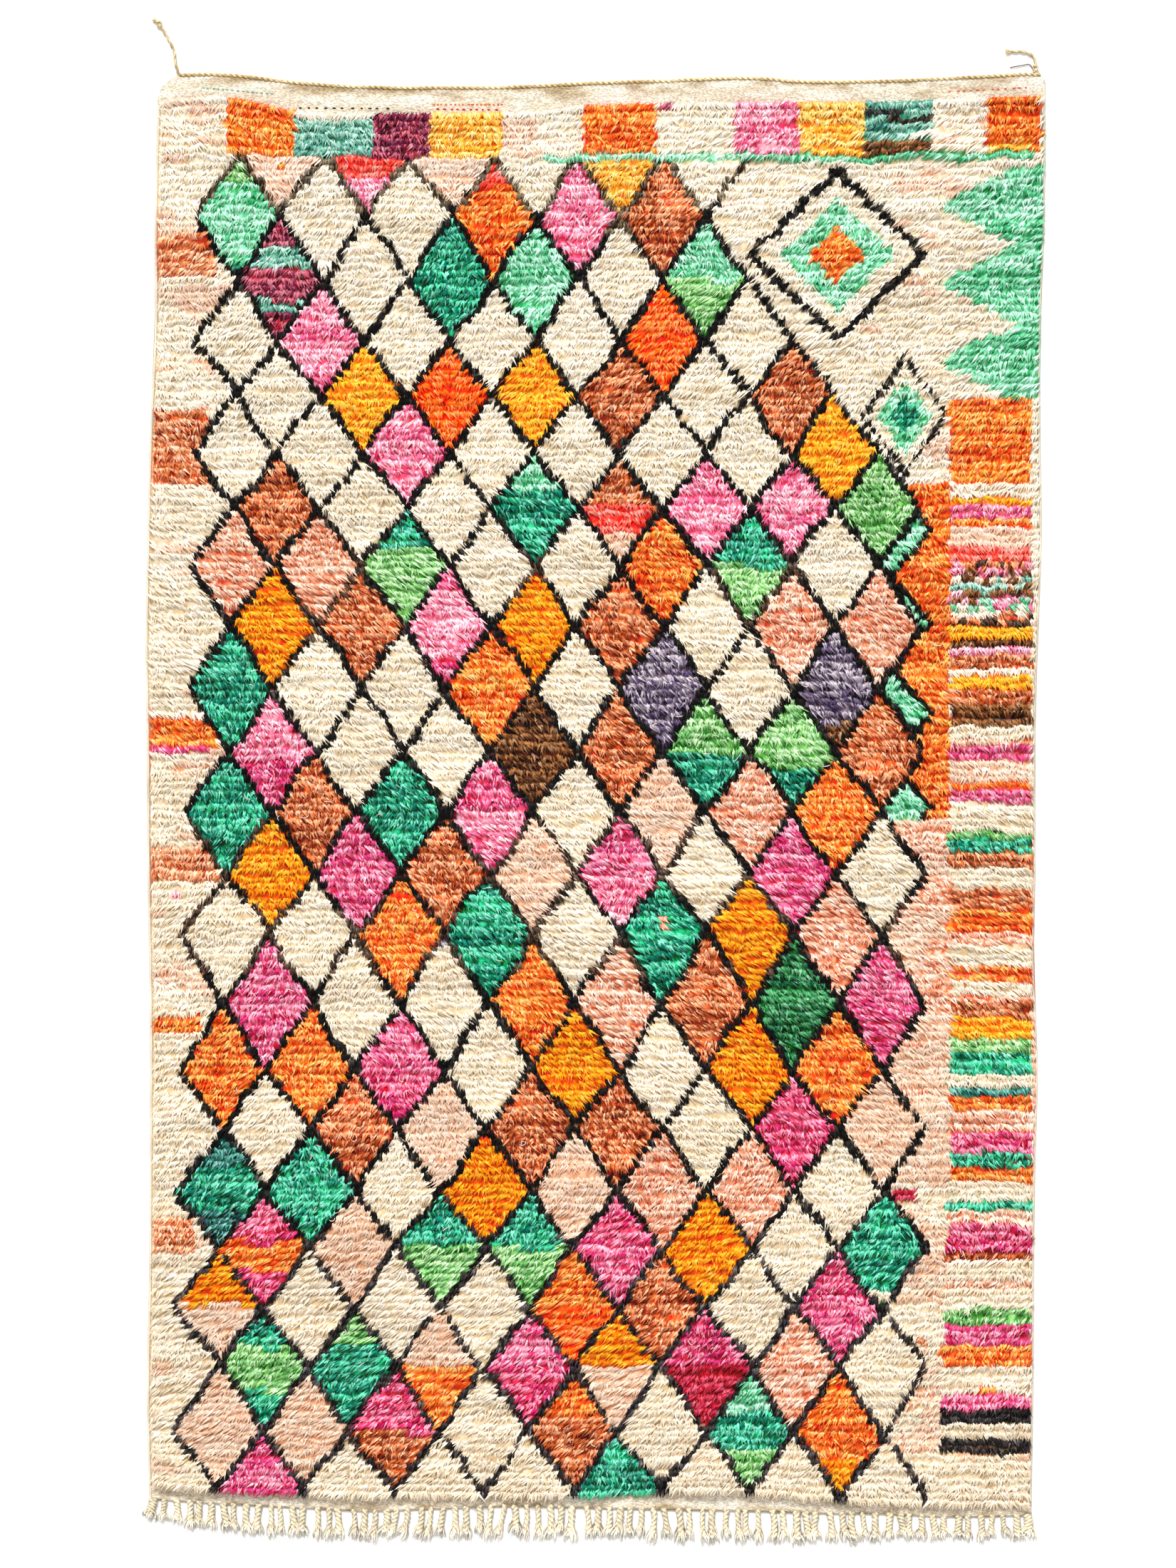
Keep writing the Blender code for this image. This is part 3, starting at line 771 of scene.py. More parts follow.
def ripple_at(x, y, ripple):
    """Smooth noise at many points, up and down by a ripple's height."""
    flat = zip(np.ravel(x) / ripple.across, np.ravel(y) / ripple.down)
    values = [noise.noise((a, b, ripple.layer)) for a, b in flat]
    return ripple.height * np.array(values).reshape(np.shape(x))


def scatter(*keys):
    """A fixed random number from 0 to 1 for each set of keys. A last key that is a plain number sets one
    use apart from another."""
    total = 0.0
    for weight, key in zip(SCATTER_WEIGHTS, keys):
        total = total + weight * key
    return np.modf(np.abs(np.sin(total)) * SCATTER_PACE)[0]


def swing(size, *keys):
    """A fixed random number for each set of keys, up to half a size either way."""
    return size * (scatter(*keys) - 0.5)


def rare(chance, *keys):
    """0 for most sets of keys, and from 0 to 1 for the few that the chance picks."""
    return np.clip(1 - (1 - scatter(*keys)) / chance, 0, 1)


def blend(first, second, share):
    """Between two colours, by the share of the second one at each point."""
    return first * (1 - share) + second * share


def linear_colour(code):
    """Linear red, green and blue of a colour written as six hex digits."""
    parts = np.array([int(code[i : i + 2], 16) / 255 for i in (0, 2, 4)])
    return np.where(parts <= 0.04045, parts / 12.92, ((parts + 0.055) / 1.055) ** 2.4)


def lozenge_table():
    """Yarn numbers by lozenge row, column and slice from top to bottom, with -1 outside the lattice."""
    table = np.full((len(LOZENGES), COLUMN_COUNT, SLICES), -1)
    for row, lozenge_row in enumerate(LOZENGES):
        for place, names in enumerate(lozenge_row.yarns.split()):
            column = place * 2 + (0 if row % 2 else 1)
            steps = names.split(">")
            for part in range(SLICES):
                table[row, column, part] = YARN_NUMBER[steps[part * len(steps) // SLICES]]
    return table


def look_up(table, row, column, part):
    """Yarn numbers in the lozenge table, with places outside it moved to its nearest lozenge."""
    safe_row = np.clip(row, 0, len(LOZENGES) - 1)
    safe_column = np.clip(column, 0, COLUMN_COUNT - 1)
    return table[safe_row, safe_column, part]


def is_lozenge(table, row, column):
    """Whether the chart has a lozenge at a row and column of the lattice."""
    inside = (row >= 0) & (row < len(LOZENGES)) & (column >= 0) & (column < COLUMN_COUNT)
    return inside & (look_up(table, row, column, 0) >= 0)


def lattice_place(knot, row):
    """Place in the lattice, in columns and lozenge rows, which wander as a freehand lattice does."""
    share = (row - COLUMNS_HIGH.row) / (COLUMNS_LOW.row - COLUMNS_HIGH.row)
    first = COLUMNS_HIGH.first + (COLUMNS_LOW.first - COLUMNS_HIGH.first) * share
    last = COLUMNS_HIGH.last + (COLUMNS_LOW.last - COLUMNS_HIGH.last) * share
    pitch = (last - first) / (COLUMN_COUNT - 1)
    middles = [lozenge_row.middle for lozenge_row in LOZENGES]
    across = (knot - first) / pitch + ripple_at(knot, row, COLUMN_DRIFT) + ripple_at(knot, row, COLUMN_JOG)
    down = np.interp(row, middles, range(len(middles))) + ripple_at(knot, row, LINE_DRIFT)
    return across, down, pitch


def line_yarn(knot, row):
    """Yarn number of the dark lines, which change as the weaver's black ran out."""
    yarn = np.full(np.shape(row), YARN_NUMBER["black"])
    wear = ripple_at(knot, row, LINE_WEAR)
    for rows in WORN_ROWS:
        worn = (row > rows.top) & (row < rows.bottom) & (wear > rows.least_wear)
        yarn = np.where(worn, YARN_NUMBER["umber"], yarn)
    yarn = np.where(row > CHARCOAL_START + CHARCOAL_SWAY * wear, YARN_NUMBER["charcoal"], yarn)
    return np.where(row < FADED_END + FADED_SWAY * wear, YARN_NUMBER["faded"], yarn)


def lay_lattice(yarn, patch, knot, row):
    """Colour the lozenges and their outlines, and number each lozenge as a patch of its own."""
    table = lozenge_table()
    across, down, pitch = lattice_place(knot, row)
    rising, falling = across + down, across - down
    rising_cell = np.floor(rising / 2).astype(int) * 2 + 1
    falling_cell = np.floor(falling / 2).astype(int) * 2 + 1
    column = (rising_cell + falling_cell) // 2
    line = (rising_cell - falling_cell) // 2
    rising_side = np.where(rising > rising_cell, 1, -1)
    falling_side = np.where(falling > falling_cell, 1, -1)
    inside = is_lozenge(table, line, column)
    beside_rising = inside | is_lozenge(table, line + rising_side, column + rising_side)
    beside_falling = inside | is_lozenge(table, line - falling_side, column + falling_side)
    to_rising = (1 - np.abs(rising - rising_cell)) * pitch
    to_falling = (1 - np.abs(falling - falling_cell)) * pitch
    half = LINE_HALF_WIDTH * (1 + ripple_at(knot, row, LINE_SWELL))
    on_line = ((to_rising < half) & beside_rising) | ((to_falling < half) & beside_falling)
    shown = row > LATTICE_TOP
    part = np.clip(((down - line + 1) / 2 * SLICES).astype(int), 0, SLICES - 1)
    filled = shown & inside & ~on_line
    yarn = np.where(filled, look_up(table, line, column, part), yarn)
    patch = np.where(filled, LOZENGE_PATCHES + line * COLUMN_COUNT + column, patch)
    yarn = np.where(shown & on_line, line_yarn(knot, row), yarn)
    patch = np.where(shown & on_line, LINE_PATCH, patch)
    return yarn, patch, across, shown & (inside | on_line)


def zigzag_edge(row, zigzag):
    """Knot of a zigzag edge at each row."""
    return zigzag.knot + zigzag.reach * (1 - np.abs(np.mod((row - zigzag.start) / zigzag.rows, 1) * 2 - 1))


def lay_motif(yarn, patch, knot, row, free, number, motif):
    """Colour one lozenge of the panel, from its outline in to its heart."""
    out = np.abs(knot - motif.knot) / motif.half_knots + np.abs(row - motif.row) / motif.half_rows
    for share, name in zip(RING_SHARES, ("black", "cream", motif.ring, motif.heart)):
        inside = free & (out < share)
        yarn = np.where(inside, YARN_NUMBER[name], yarn)
        patch = np.where(inside, MOTIF_PATCHES + number * MOTIF_PATCH_STEP + YARN_NUMBER[name], patch)
    return yarn, patch


def lay_panel(yarn, patch, knot, row, free):
    """The panel at the upper right: nested lozenges on cream, a mint sawtooth edge, and a mint and orange
    zigzag below them."""
    teeth = free & (row > TEETH.start) & (row < BARS_START) & (knot > zigzag_edge(row, TEETH))
    yarn = np.where(teeth, YARN_NUMBER["mint"], yarn)
    patch = np.where(teeth, TEETH_PATCH, patch)
    for number, motif in enumerate(PANEL_LOZENGES):
        yarn, patch = lay_motif(yarn, patch, knot, row, free, number, motif)
    low = free & (row > LOW_ZIGZAG.start) & (knot < BARS_LEFT)
    edge = zigzag_edge(row, LOW_ZIGZAG)
    yarn = np.where(low, YARN_NUMBER["mint"], yarn)
    yarn = np.where(low & (knot > edge), YARN_NUMBER["orange"], yarn)
    patch = np.where(low, ZIGZAG_PATCHES + (knot > edge), patch)
    yarn = np.where(low & (np.abs(knot - edge) < LINE_HALF_WIDTH), YARN_NUMBER["black"], yarn)
    return yarn, patch


def mixed_yarns(knot, row, top, rows):
    """Yarn numbers of a bar made of many yarns in short mixed rows."""
    numbers = np.array([YARN_NUMBER[name] for name in MIXED_YARNS])
    step = (row - top) / rows * len(numbers) + ripple_at(knot, row, BAR_MIXING)
    return numbers[np.mod(np.floor(step).astype(int), len(numbers))]


def lay_bars(yarn, patch, knot, row):
    """Colour the bars down the right side."""
    wider = np.clip((row - BARS_WIDEN_START) / BARS_WIDEN_ROWS, 0, BARS_WIDEN_MOST)
    edge = BARS_LEFT + ripple_at(row, row, BAR_ENDS) - wider
    top = BARS_START
    for number, bar in enumerate(BARS):
        inside = (knot > edge) & (knot < BARS_RIGHT) & (row >= top) & (row < top + bar.rows)
        mixed = bar.yarn == "mixed"
        colour = mixed_yarns(knot, row, top, bar.rows) if mixed else YARN_NUMBER[bar.yarn]
        yarn = np.where(inside, colour, yarn)
        patch = np.where(inside, BAR_PATCHES + number, patch)
        top += bar.rows
    return yarn, patch


def lay_blocks(yarn, patch, knot, row):
    """Colour the row of blocks under the heading, and the mint row below it."""
    for number, block in enumerate(BLOCKS):
        inside = (knot > block.left) & (knot < block.right) & (row >= block.top) & (row < LATTICE_TOP)
        yarn = np.where(inside, YARN_NUMBER[block.yarn], yarn)
        patch = np.where(inside, BLOCK_PATCHES + number, patch)
    in_row = (row >= LATTICE_TOP) & (row < LATTICE_TOP + 1)
    mint_row = in_row & (knot > MINT_ROW_START) & (knot < MINT_ROW_END)
    return np.where(mint_row, YARN_NUMBER["mint"], yarn), patch


def lay_patches(yarn, patch, knot, row, pieces, first_number):
    """Colour some upright patches of knots, each numbered as a patch of its own."""
    for number, piece in enumerate(pieces):
        inside = (row > piece.top) & (row < piece.bottom) & (knot > piece.left) & (knot < piece.right)
        yarn = np.where(inside, YARN_NUMBER[piece.yarn], yarn)
        patch = np.where(inside, first_number + number, patch)
    return yarn, patch


def lay_ground(knot, row):
    """Yarn numbers of the plain ground: cream with clouds of blush, and the blush and peach field."""
    yarn = np.full(np.shape(row), YARN_NUMBER["cream"])
    cloud = ripple_at(knot, row, BLUSH_CLOUDS) + ripple_at(knot, row, BLUSH_STREAKS)
    field = (row > FIELD_START) & (knot > FIELD_LEFT) & (cloud > (row - FIELD_BLUSH_MIDDLE) / FIELD_FADE)
    yarn = np.where(field | (cloud > BLUSH_FROM), YARN_NUMBER["blush"], yarn)
    peach = cloud + ripple_at(knot, row, PEACH_STREAKS) > (row - FIELD_PEACH_MIDDLE) / FIELD_FADE
    return np.where(field & peach, YARN_NUMBER["peach"], yarn)


def yarn_chart(knot, row):
    """Yarn number and patch number of each knot."""
    yarn = lay_ground(knot, row)
    patch = np.zeros(np.shape(row), int)
    yarn, patch = lay_patches(yarn, patch, knot, row, PATCHES, BORDER_PATCHES)
    yarn, patch, across, in_lattice = lay_lattice(yarn, patch, knot, row)
    free = (row > LATTICE_TOP) & (row < PANEL_END) & ~in_lattice & (across > PANEL_FIRST_COLUMN)
    yarn, patch = lay_panel(yarn, patch, knot, row, free)
    yarn, patch = lay_bars(yarn, patch, knot, row)
    yarn, patch = lay_blocks(yarn, patch, knot, row)
    return lay_patches(yarn, patch, knot, row, SPOTS, SPOT_PATCHES)


def shade_strength(yarn):
    """How strongly painted shade, and the deepening of the deepest ends, deepen each yarn: far less where
    it is undyed.
    """
    return np.where(np.isin(yarn, PALE_YARNS), PALE_YARN_DEPTH, 1.0)


def yarn_colours(yarn, patch, knot, row, end):
    """Linear colours of yarn ends: uneven dye from row to row, from end to end and over each patch,
    painted highlights on a few knots, and undyed yarns darker and warmer towards the fringe.
    """
    main = np.array([linear_colour(YARNS[name].main) for name in YARN_NAMES])
    second = np.array([linear_colour(YARNS[name].second) for name in YARN_NAMES])
    whole_row = np.floor(row)
    by_knot = scatter(knot, whole_row, 1.7)
    by_end = scatter(end, whole_row, 3.0)
    dye = swing(ROW_DYE, whole_row, patch) + KNOT_DYE * (by_knot - 0.5) + END_DYE * (by_end - 0.5)
    mix = np.clip(0.5 + dye + ripple_at(knot, row, DYE_CLOUDS), 0, 1)
    colour = blend(main[yarn], second[yarn], mix[..., None])
    # Painted highlights: the ends of a few knots are lightened towards white, as tufts that catch the
    # light
    pale = HIGHLIGHT_ENDS * rare(HIGHLIGHT_CHANCE, knot, whole_row, 5.0) * (HIGHLIGHT_LEAST + (1 - HIGHLIGHT_LEAST) * by_end)
    colour = blend(colour, np.sqrt(colour), pale[..., None])
    deep = DEEP_ENDS * rare(DEEP_CHANCE, end, whole_row, 8.0) * (DEEP_LEAST + (1 - DEEP_LEAST) * by_knot)
    colour = colour ** (1 + deep * shade_strength(yarn))[..., None]
    tone = 1 + swing(ROW_TONE, whole_row, patch, 2.0) + swing(KNOT_TONE, knot, whole_row, 14.0)
    # Undyed yarns grow darker and warmer towards the fringe
    fringeward_share = np.where(np.isin(yarn, PALE_YARNS), row / ROW_COUNT, 0.0)
    return colour * tone[..., None] * (1 - fringeward_share[..., None] * FRINGEWARD_LOSS)


def deselect_all():
    for thing in bpy.context.selected_objects:
        thing.select_set(False)


def pick_verts(mesh_object, chosen):
    """Select the vertices that a test on their place picks, in edit mode."""
    bpy.ops.object.mode_set(mode="EDIT")
    bpy.ops.mesh.select_mode(type="VERT")
    bpy.ops.mesh.select_all(action="DESELECT")
    bpy.ops.object.mode_set(mode="OBJECT")
    for vert in mesh_object.data.vertices:
        vert.select = chosen(vert.co)
    bpy.ops.object.mode_set(mode="EDIT")


def read_mesh(mesh):
    """A mesh's points, corners, face starts and UV corners as arrays."""
    points = np.zeros(len(mesh.vertices) * 3)
    mesh.vertices.foreach_get("co", points)
    corners = np.zeros(len(mesh.loops), int)
    mesh.loops.foreach_get("vertex_index", corners)
    starts = np.zeros(len(mesh.polygons), int)
    mesh.polygons.foreach_get("loop_start", starts)
    spread = np.zeros(len(mesh.loops) * 2)
    if mesh.uv_layers:
        mesh.uv_layers[0].data.foreach_get("uv", spread)
    return points.reshape(-1, 3), corners, starts, spread.reshape(-1, 2)


def set_points(mesh, points):
    """Move a mesh's points to their places."""
    mesh.vertices.foreach_set("co", points.astype(np.float32).ravel())


def paint(mesh, colours):
    """Give a mesh its yarn colours, one for each of its points."""
    tint = mesh.color_attributes.new("yarn", "FLOAT_COLOR", "POINT")
    full = np.ones((*np.shape(colours)[:-1], 4), np.float32)
    full[..., :3] = colours
    tint.data.foreach_set("color", full.ravel())


def dress(thing, codes, drift, material, tone=1.0):
    """Give a finished piece colours that drift between two shades, and its material."""
    first, last = (linear_colour(code) for code in codes)
    points = read_mesh(thing.data)[0]
    mix = np.clip(0.5 + ripple_at(points[:, 0], points[:, 1], drift), 0, 1)
    paint(thing.data, blend(first, last, mix[:, None]) * tone)
    thing.data.materials.append(material)
    return thing


def painted_height_shade(thing, thickness, shading):
    """Painted shade on a cord's points: darker the nearer they are to the floor."""
    height = read_mesh(thing.data)[0][:, 2:]
    return np.clip(shading.low + shading.gain * height / thickness, shading.least, shading.most)


def unit(vectors):
    """The same directions, each of length 1."""
    return vectors / np.linalg.norm(vectors, axis=-1, keepdims=True)


def left_of(ahead):
    """Directions on the floor, a quarter turn to the left of others."""
    return np.stack([-ahead[..., 1], ahead[..., 0]], axis=-1)


def run_along(points):
    """How far each point of a line is along it."""
    return np.concatenate([[0], np.cumsum(np.linalg.norm(np.diff(points, axis=0), axis=1))])


def model_yarn_end():
    """One yarn end of unit size, an arch from root to tip: X across it, Y along it, its belly at Z = 1."""
    deselect_all()
    bpy.ops.mesh.primitive_cone_add(
        vertices=3, radius1=0.5, radius2=0.0, depth=1, location=(0, 0, 0.5),
    )
    yarn_end = bpy.context.object
    bpy.ops.object.transform_apply(location=True, rotation=True, scale=True)
    pick_verts(yarn_end, lambda co: co.z < 0.5 and co.y < 0)
    bpy.ops.transform.translate(value=(0, 0, BELLY_PLACE))
    bpy.ops.object.mode_set(mode="OBJECT")
    yarn_end.rotation_euler = (math.radians(-90), 0, 0)
    bpy.ops.object.transform_apply(location=True, rotation=True, scale=True)
    settle_yarn_end(yarn_end.data)
    unwrap_yarn_end(yarn_end.data)
    return yarn_end


def settle_yarn_end(mesh):
    """Put the root and the tip on the middle line, and the flanks half a width out and at full height."""
    for vert in mesh.vertices:
        on_flank = BELLY_PLACE / 2 < vert.co.y < (1 + BELLY_PLACE) / 2
        side = math.copysign(0.5, vert.co.x) if on_flank else 0.0
        vert.co = (side, vert.co.y, 1.0 if on_flank else 0.0)


def unwrap_yarn_end(mesh):
    """Lay the yarn end's four faces in the four quarters of a unit square, with their lengths upright."""
    layer = mesh.uv_layers.new(name="OFBake")
    for number, face in enumerate(mesh.polygons):
        left, low = 0.5 * (number % 2), 0.5 * (number // 2)
        for loop in face.loop_indices:
            co = mesh.vertices[mesh.loops[loop].vertex_index].co
            across = left + FACE_MIDDLE + FACE_WIDTH * co.x
            layer.data[loop].uv = (across, low + FACE_FOOT + FACE_LENGTH * co.y)


def joined_copies(name, pattern, points, colours, material):
    """One object of many copies of a small mesh, given the points of every copy and their colours."""
    _, corners, starts, spread = read_mesh(pattern)
    count, size = points.shape[:2]
    numbers = np.arange(count)[:, None]
    mesh = bpy.data.meshes.new(name)
    mesh.vertices.add(count * size)
    set_points(mesh, points)
    mesh.loops.add(count * len(corners))
    mesh.loops.foreach_set("vertex_index", (corners + size * numbers).astype(np.int32).ravel())
    mesh.polygons.add(count * len(starts))
    face_starts = (starts + len(corners) * numbers).astype(np.int32)
    mesh.polygons.foreach_set("loop_start", face_starts.ravel())
    cells = math.ceil(math.sqrt(count))
    corner = np.stack([numbers % cells, numbers // cells], axis=-1)
    layer = mesh.uv_layers.new(name="OFBake")
    layer.data.foreach_set("uv", ((corner + spread) / cells).astype(np.float32).ravel())
    paint(mesh, colours)
    mesh.update(calc_edges=True)
    mesh.validate()
    mesh.shade_flat()
    mesh.materials.append(material)
    thing = bpy.data.objects.new(name, mesh)
    bpy.context.scene.collection.objects.link(thing)
    return thing


def pile_place(across, row):
    """Place of a point of the pile from its share of the way across and its row, drawn in to the bands."""
    y = PILE_START - row * ROW_PITCH
    left = left_side(y) + SELVEDGE_WIDTH * LEFT_GAP
    right = right_side(y) - SELVEDGE_WIDTH * RIGHT_GAP
    x = left + (right - left) * across
    pile_bottom = PILE_START - ROW_COUNT * ROW_PITCH
    near_top = (1 - ramp(PILE_START - y, END_FADE)) ** END_FADE_POWER
    near_bottom = (1 - ramp(y - pile_bottom, END_FADE)) ** END_FADE_POWER
    y = y + (pile_start(x) - PILE_START) * near_top + (pile_end(x) - pile_bottom) * near_bottom
    return x, y


def row_wave(x, y, row):
    """How far a row of knots wanders up or down the rug, fading out at the bands."""
    wave = ripple_at(x, row, ROW_SWAY) + ripple_at(x, row, ROW_JOG)
    return wave * ramp(pile_start(x) - y, ROW_WANDER_FADE) * ramp(y - pile_end(x), ROW_WANDER_FADE)


def knot_at(x, row):
    """Middle of the knot at a place across the rug, in knots. Each row of knots is shifted a little."""
    shift = scatter(np.floor(row), 4.4)
    return np.floor((x + HALF_WIDTH) / KNOT_WIDTH + shift) + 0.5 - shift


def from_knot_middle(x, knot):
    """How near each place is to the rim of its knot: 0 at the middle and 1 at the rim."""
    return np.clip(2 * np.abs((x + HALF_WIDTH) / KNOT_WIDTH - knot), 0, 1) ** 2


def place_ends():
    """Middle of every yarn end, with its knot and row in the chart, and its number in the row."""
    count = round(2 * HALF_WIDTH / END_PITCH)
    row, end = np.meshgrid(np.arange(ROW_COUNT) + 0.5, np.arange(count), indexing="ij")
    x, y = pile_place((end + 0.5 + swing(END_JITTER, end, row, 1.0)) / count, row)
    knot = knot_at(x, row)
    y = y + row_wave(x, y, row)
    y = y + swing(KNOT_SCATTER, knot, row, 2.0) + swing(END_SCATTER, end, row, 2.5)
    return x.ravel(), y.ravel(), knot.ravel(), row.ravel(), end.ravel()


def pile_top(x, y):
    """Height of the pile where its ends lie: broad lumps, clumps and small locks, lower at the sides."""
    top = PILE_HEIGHT + ripple_at(x, y, PILE_LUMPS) + ripple_at(x, y, PILE_CLUMPS)
    edge = ramp(np.abs(x) - (HALF_WIDTH - EDGE_WIDTH), EDGE_WIDTH)
    return (top + ripple_at(x, y, PILE_LOCKS)) * (1 - EDGE_DROP * edge)


def lean_of_ends(x, y, knot, row, end, patch):
    """How far each yarn end lies sideways for its reach: brushed in patches, then knot by knot."""
    left, middle, right = (read_table(BRUSHED, "y", name, y) for name in ("left", "middle", "right"))
    place = np.clip(x / HALF_WIDTH, -1, 1)
    to_left, to_right = np.maximum(-place, 0), np.maximum(place, 0)
    lean = middle + (left - middle) * to_left + (right - middle) * to_right
    lean = lean + ripple_at(x, y, LEAN_PATCHES) + ripple_at(x, y, LEAN_CLUMPS)
    lean = lean + swing(KNOT_LEAN, knot, row, 6.0) + swing(END_LEAN, end, row, 6.5)
    lean = np.where(patch == LINE_PATCH, lean * LINE_LEAN, lean)
    room = ramp(HALF_WIDTH - SIDE_GAP - np.abs(x), SIDE_FADE)
    outward = np.sign(x) * np.maximum(lean * np.sign(x), 0)
    held = np.where(x < 0, HELD_LEFT, HELD_RIGHT)
    return np.clip(lean - outward * (1 - room) * held, -MOST_LEAN, MOST_LEAN)


def end_routes(x, y, knot, row, end, patch):
    """Where each yarn end starts and stops, seen from above."""
    lean = lean_of_ends(x, y, knot, row, end, patch)
    run = END_RUN * (1 + swing(RUN_SCATTER, knot, row, 7.0) + swing(RUN_SCATTER, end, row, 7.5))
    run = run / (1 + LEAN_SHORTENS * lean**2)
    side = run * lean
    root = np.stack([x - side * LEAN_AT_ROOT, y + ROOT_BACK], axis=-1)
    tip = np.stack([x + side * (1 - LEAN_AT_ROOT), y + ROOT_BACK - run], axis=-1)
    return root, tip


def end_points(pattern, x, y, knot, row, end, patch):
    """Points of every yarn end: each row of them arches over like a roll, from deep in the row above to
    deep in the row below."""
    template = read_mesh(pattern)[0]
    across, place, height = template[None, :, 0], template[None, :, 1], template[None, :, 2]
    root, tip = end_routes(x, y, knot, row, end, patch)
    side = left_of(unit(tip - root))
    width = END_WIDTH * (1 + swing(WIDTH_SCATTER, end, row, 11.0))
    points = np.zeros((len(x), template.shape[0], 3))
    points[..., :2] = root[:, None] + (tip - root)[:, None] * place[..., None]
    points[..., :2] += side[:, None] * (across * width[:, None])[..., None]
    top = pile_top(x, y) - KNOT_ROUND * from_knot_middle(x, knot)
    top = top + swing(KNOT_TOP_SCATTER, knot, row, 4.0) + swing(END_TOP_SCATTER, end, row, 9.0)
    tip_depth = np.maximum(TIP_DEPTH + ripple_at(x, y, BRUSHED_FLAT), LEAST_TIP_DEPTH)[:, None]
    depth = np.where(place < BELLY_PLACE, ROOT_DEPTH, tip_depth) * (1 - height)
    roll = swing(END_ROLL, end, row, 12.0)[:, None] * across
    points[..., 2] = top[:, None] - depth + roll
    return points


def end_tints(pattern, x, yarn, patch, knot, row, end):
    """Colours of every yarn end's points, with painted shade deeper at its root and tip and at the rim of
    its knot, and a painted highlight at its belly.
    """
    rim = from_knot_middle(x, knot)
    # Painted shade at the rim of each knot
    colour = yarn_colours(yarn, patch, knot, row, end) ** (1 + KNOT_RIM_SHADE * rim)[:, None]
    along = read_mesh(pattern)[0][:, 1]
    # Painted shade at the root and tip, and a painted highlight at the belly
    shade = np.interp(along, (0, BELLY_PLACE, 1), (ROOT_SHADE, BELLY_HIGHLIGHT, TIP_SHADE))
    return colour[:, None, :] ** (1 + shade_strength(yarn)[:, None] * (shade - 1))[..., None]


def make_pile(material):
    """The ends of the pile, in bands across the rug."""
    yarn_end = model_yarn_end()
    x, y, knot, row, end = place_ends()
    yarn, patch = yarn_chart(knot, row)
    points = end_points(yarn_end.data, x, y, knot, row, end, patch)
    tints = end_tints(yarn_end.data, x, yarn, patch, knot, row, end)
    bands = np.minimum((row * PILE_PIECES / ROW_COUNT).astype(int), PILE_PIECES - 1)
    pieces = []
    for band in range(PILE_PIECES):
        chosen = bands == band
        name = f"pile_{band + 1}"
        pieces.append(joined_copies(name, yarn_end.data, points[chosen], tints[chosen], material))
    bpy.data.objects.remove(yarn_end, do_unlink=True)
    return pieces


def add_grid(name, columns, rows):
    """A flat grid of unit size, with each point's share of the way across and its row from the top."""
    deselect_all()
    bpy.ops.mesh.primitive_grid_add(x_subdivisions=columns, y_subdivisions=rows, size=1)
    sheet = bpy.context.object
    sheet.name = name
    points = read_mesh(sheet.data)[0]
    return sheet, points[:, 0] + 0.5, np.round((0.5 - points[:, 1]) * rows).astype(int)


def make_bed(material):
    """The bed of close wool under the ends: one soft sheet, down to the cloth all round, its yarn colours
    deepened as painted shade.
    """
    bed, across, row = add_grid("pile_bed", BED_COLUMNS, ROW_COUNT)
    x, y = pile_place(across, row)
    at_side = np.abs(across - 0.5) > 0.5 - 0.5 / BED_COLUMNS
    rim = at_side | (row == 0) | (row == ROW_COUNT)
    y = y + row_wave(x, y, row)
    z = np.where(rim, CLOTH_THICKNESS - BED_RIM_DEPTH, pile_top(x, y) - BED_DEPTH)
    set_points(bed.data, np.stack([x, y, z], axis=-1))
    bed.data.uv_layers[0].name = "OFBake"
    knot = knot_at(x, row)
    yarn, patch = yarn_chart(knot, row)
    # Painted shade: the bed's yarn colours are deepened, as it lies in the shade of the ends
    paint(bed.data, yarn_colours(yarn, patch, knot, row, knot) ** BED_SHADE)
    bed.data.shade_smooth()
    bed.data.materials.append(material)
    return bed


def new_node(tree, kind, **values):
    """A shader node with some of its inputs set."""
    made = tree.nodes.new(kind)
    for name, value in values.items():
        made.inputs[name.replace("_", " ")].default_value = value
    return made


def add_grain(tree, grain, place, colour, normal=None):
    """A fine noise over a colour, in darker and paler tones and in relief, up to the shader."""
    pattern = new_node(tree, "ShaderNodeTexNoise", Scale=grain.scale, Detail=grain.detail)
    tree.links.new(place, pattern.inputs["Vector"])
    spread = {"From_Min": grain.low, "From_Max": grain.high, "To_Min": grain.dark, "To_Max": grain.pale}
    tone = new_node(tree, "ShaderNodeMapRange", **spread)
    tree.links.new(pattern.outputs["Fac"], tone.inputs["Value"])
    shade = tree.nodes.new("ShaderNodeVectorMath")
    shade.operation = "SCALE"
    tree.links.new(colour, shade.inputs["Vector"])
    tree.links.new(tone.outputs["Result"], shade.inputs["Scale"])
    relief = new_node(tree, "ShaderNodeBump", Strength=grain.strength, Distance=grain.depth)
    tree.links.new(pattern.outputs["Fac"], relief.inputs["Height"])
    if normal:
        tree.links.new(normal, relief.inputs["Normal"])
    shader = tree.nodes["Principled BSDF"]
    tree.links.new(shade.outputs["Vector"], shader.inputs["Base Color"])
    tree.links.new(relief.outputs["Normal"], shader.inputs["Normal"])


def wool_material(name, finish):
    """Wool that takes its colour from each piece's own yarn, with fine fibres in colour and relief."""
    material = bpy.data.materials.new(name)
    material.use_nodes = True
    tree = material.node_tree
    shader = tree.nodes["Principled BSDF"]
    shader.inputs["Roughness"].default_value = finish.roughness
    shader.inputs["Sheen Weight"].default_value = finish.sheen
    shader.inputs["Specular IOR Level"].default_value = finish.gloss
    tint = tree.nodes.new("ShaderNodeAttribute")
    tint.attribute_name = "yarn"
    place = tree.nodes.new("ShaderNodeTexCoord")
    add_grain(tree, FIBRE_GRAIN, place.outputs["Object"], tint.outputs["Color"])
    return material


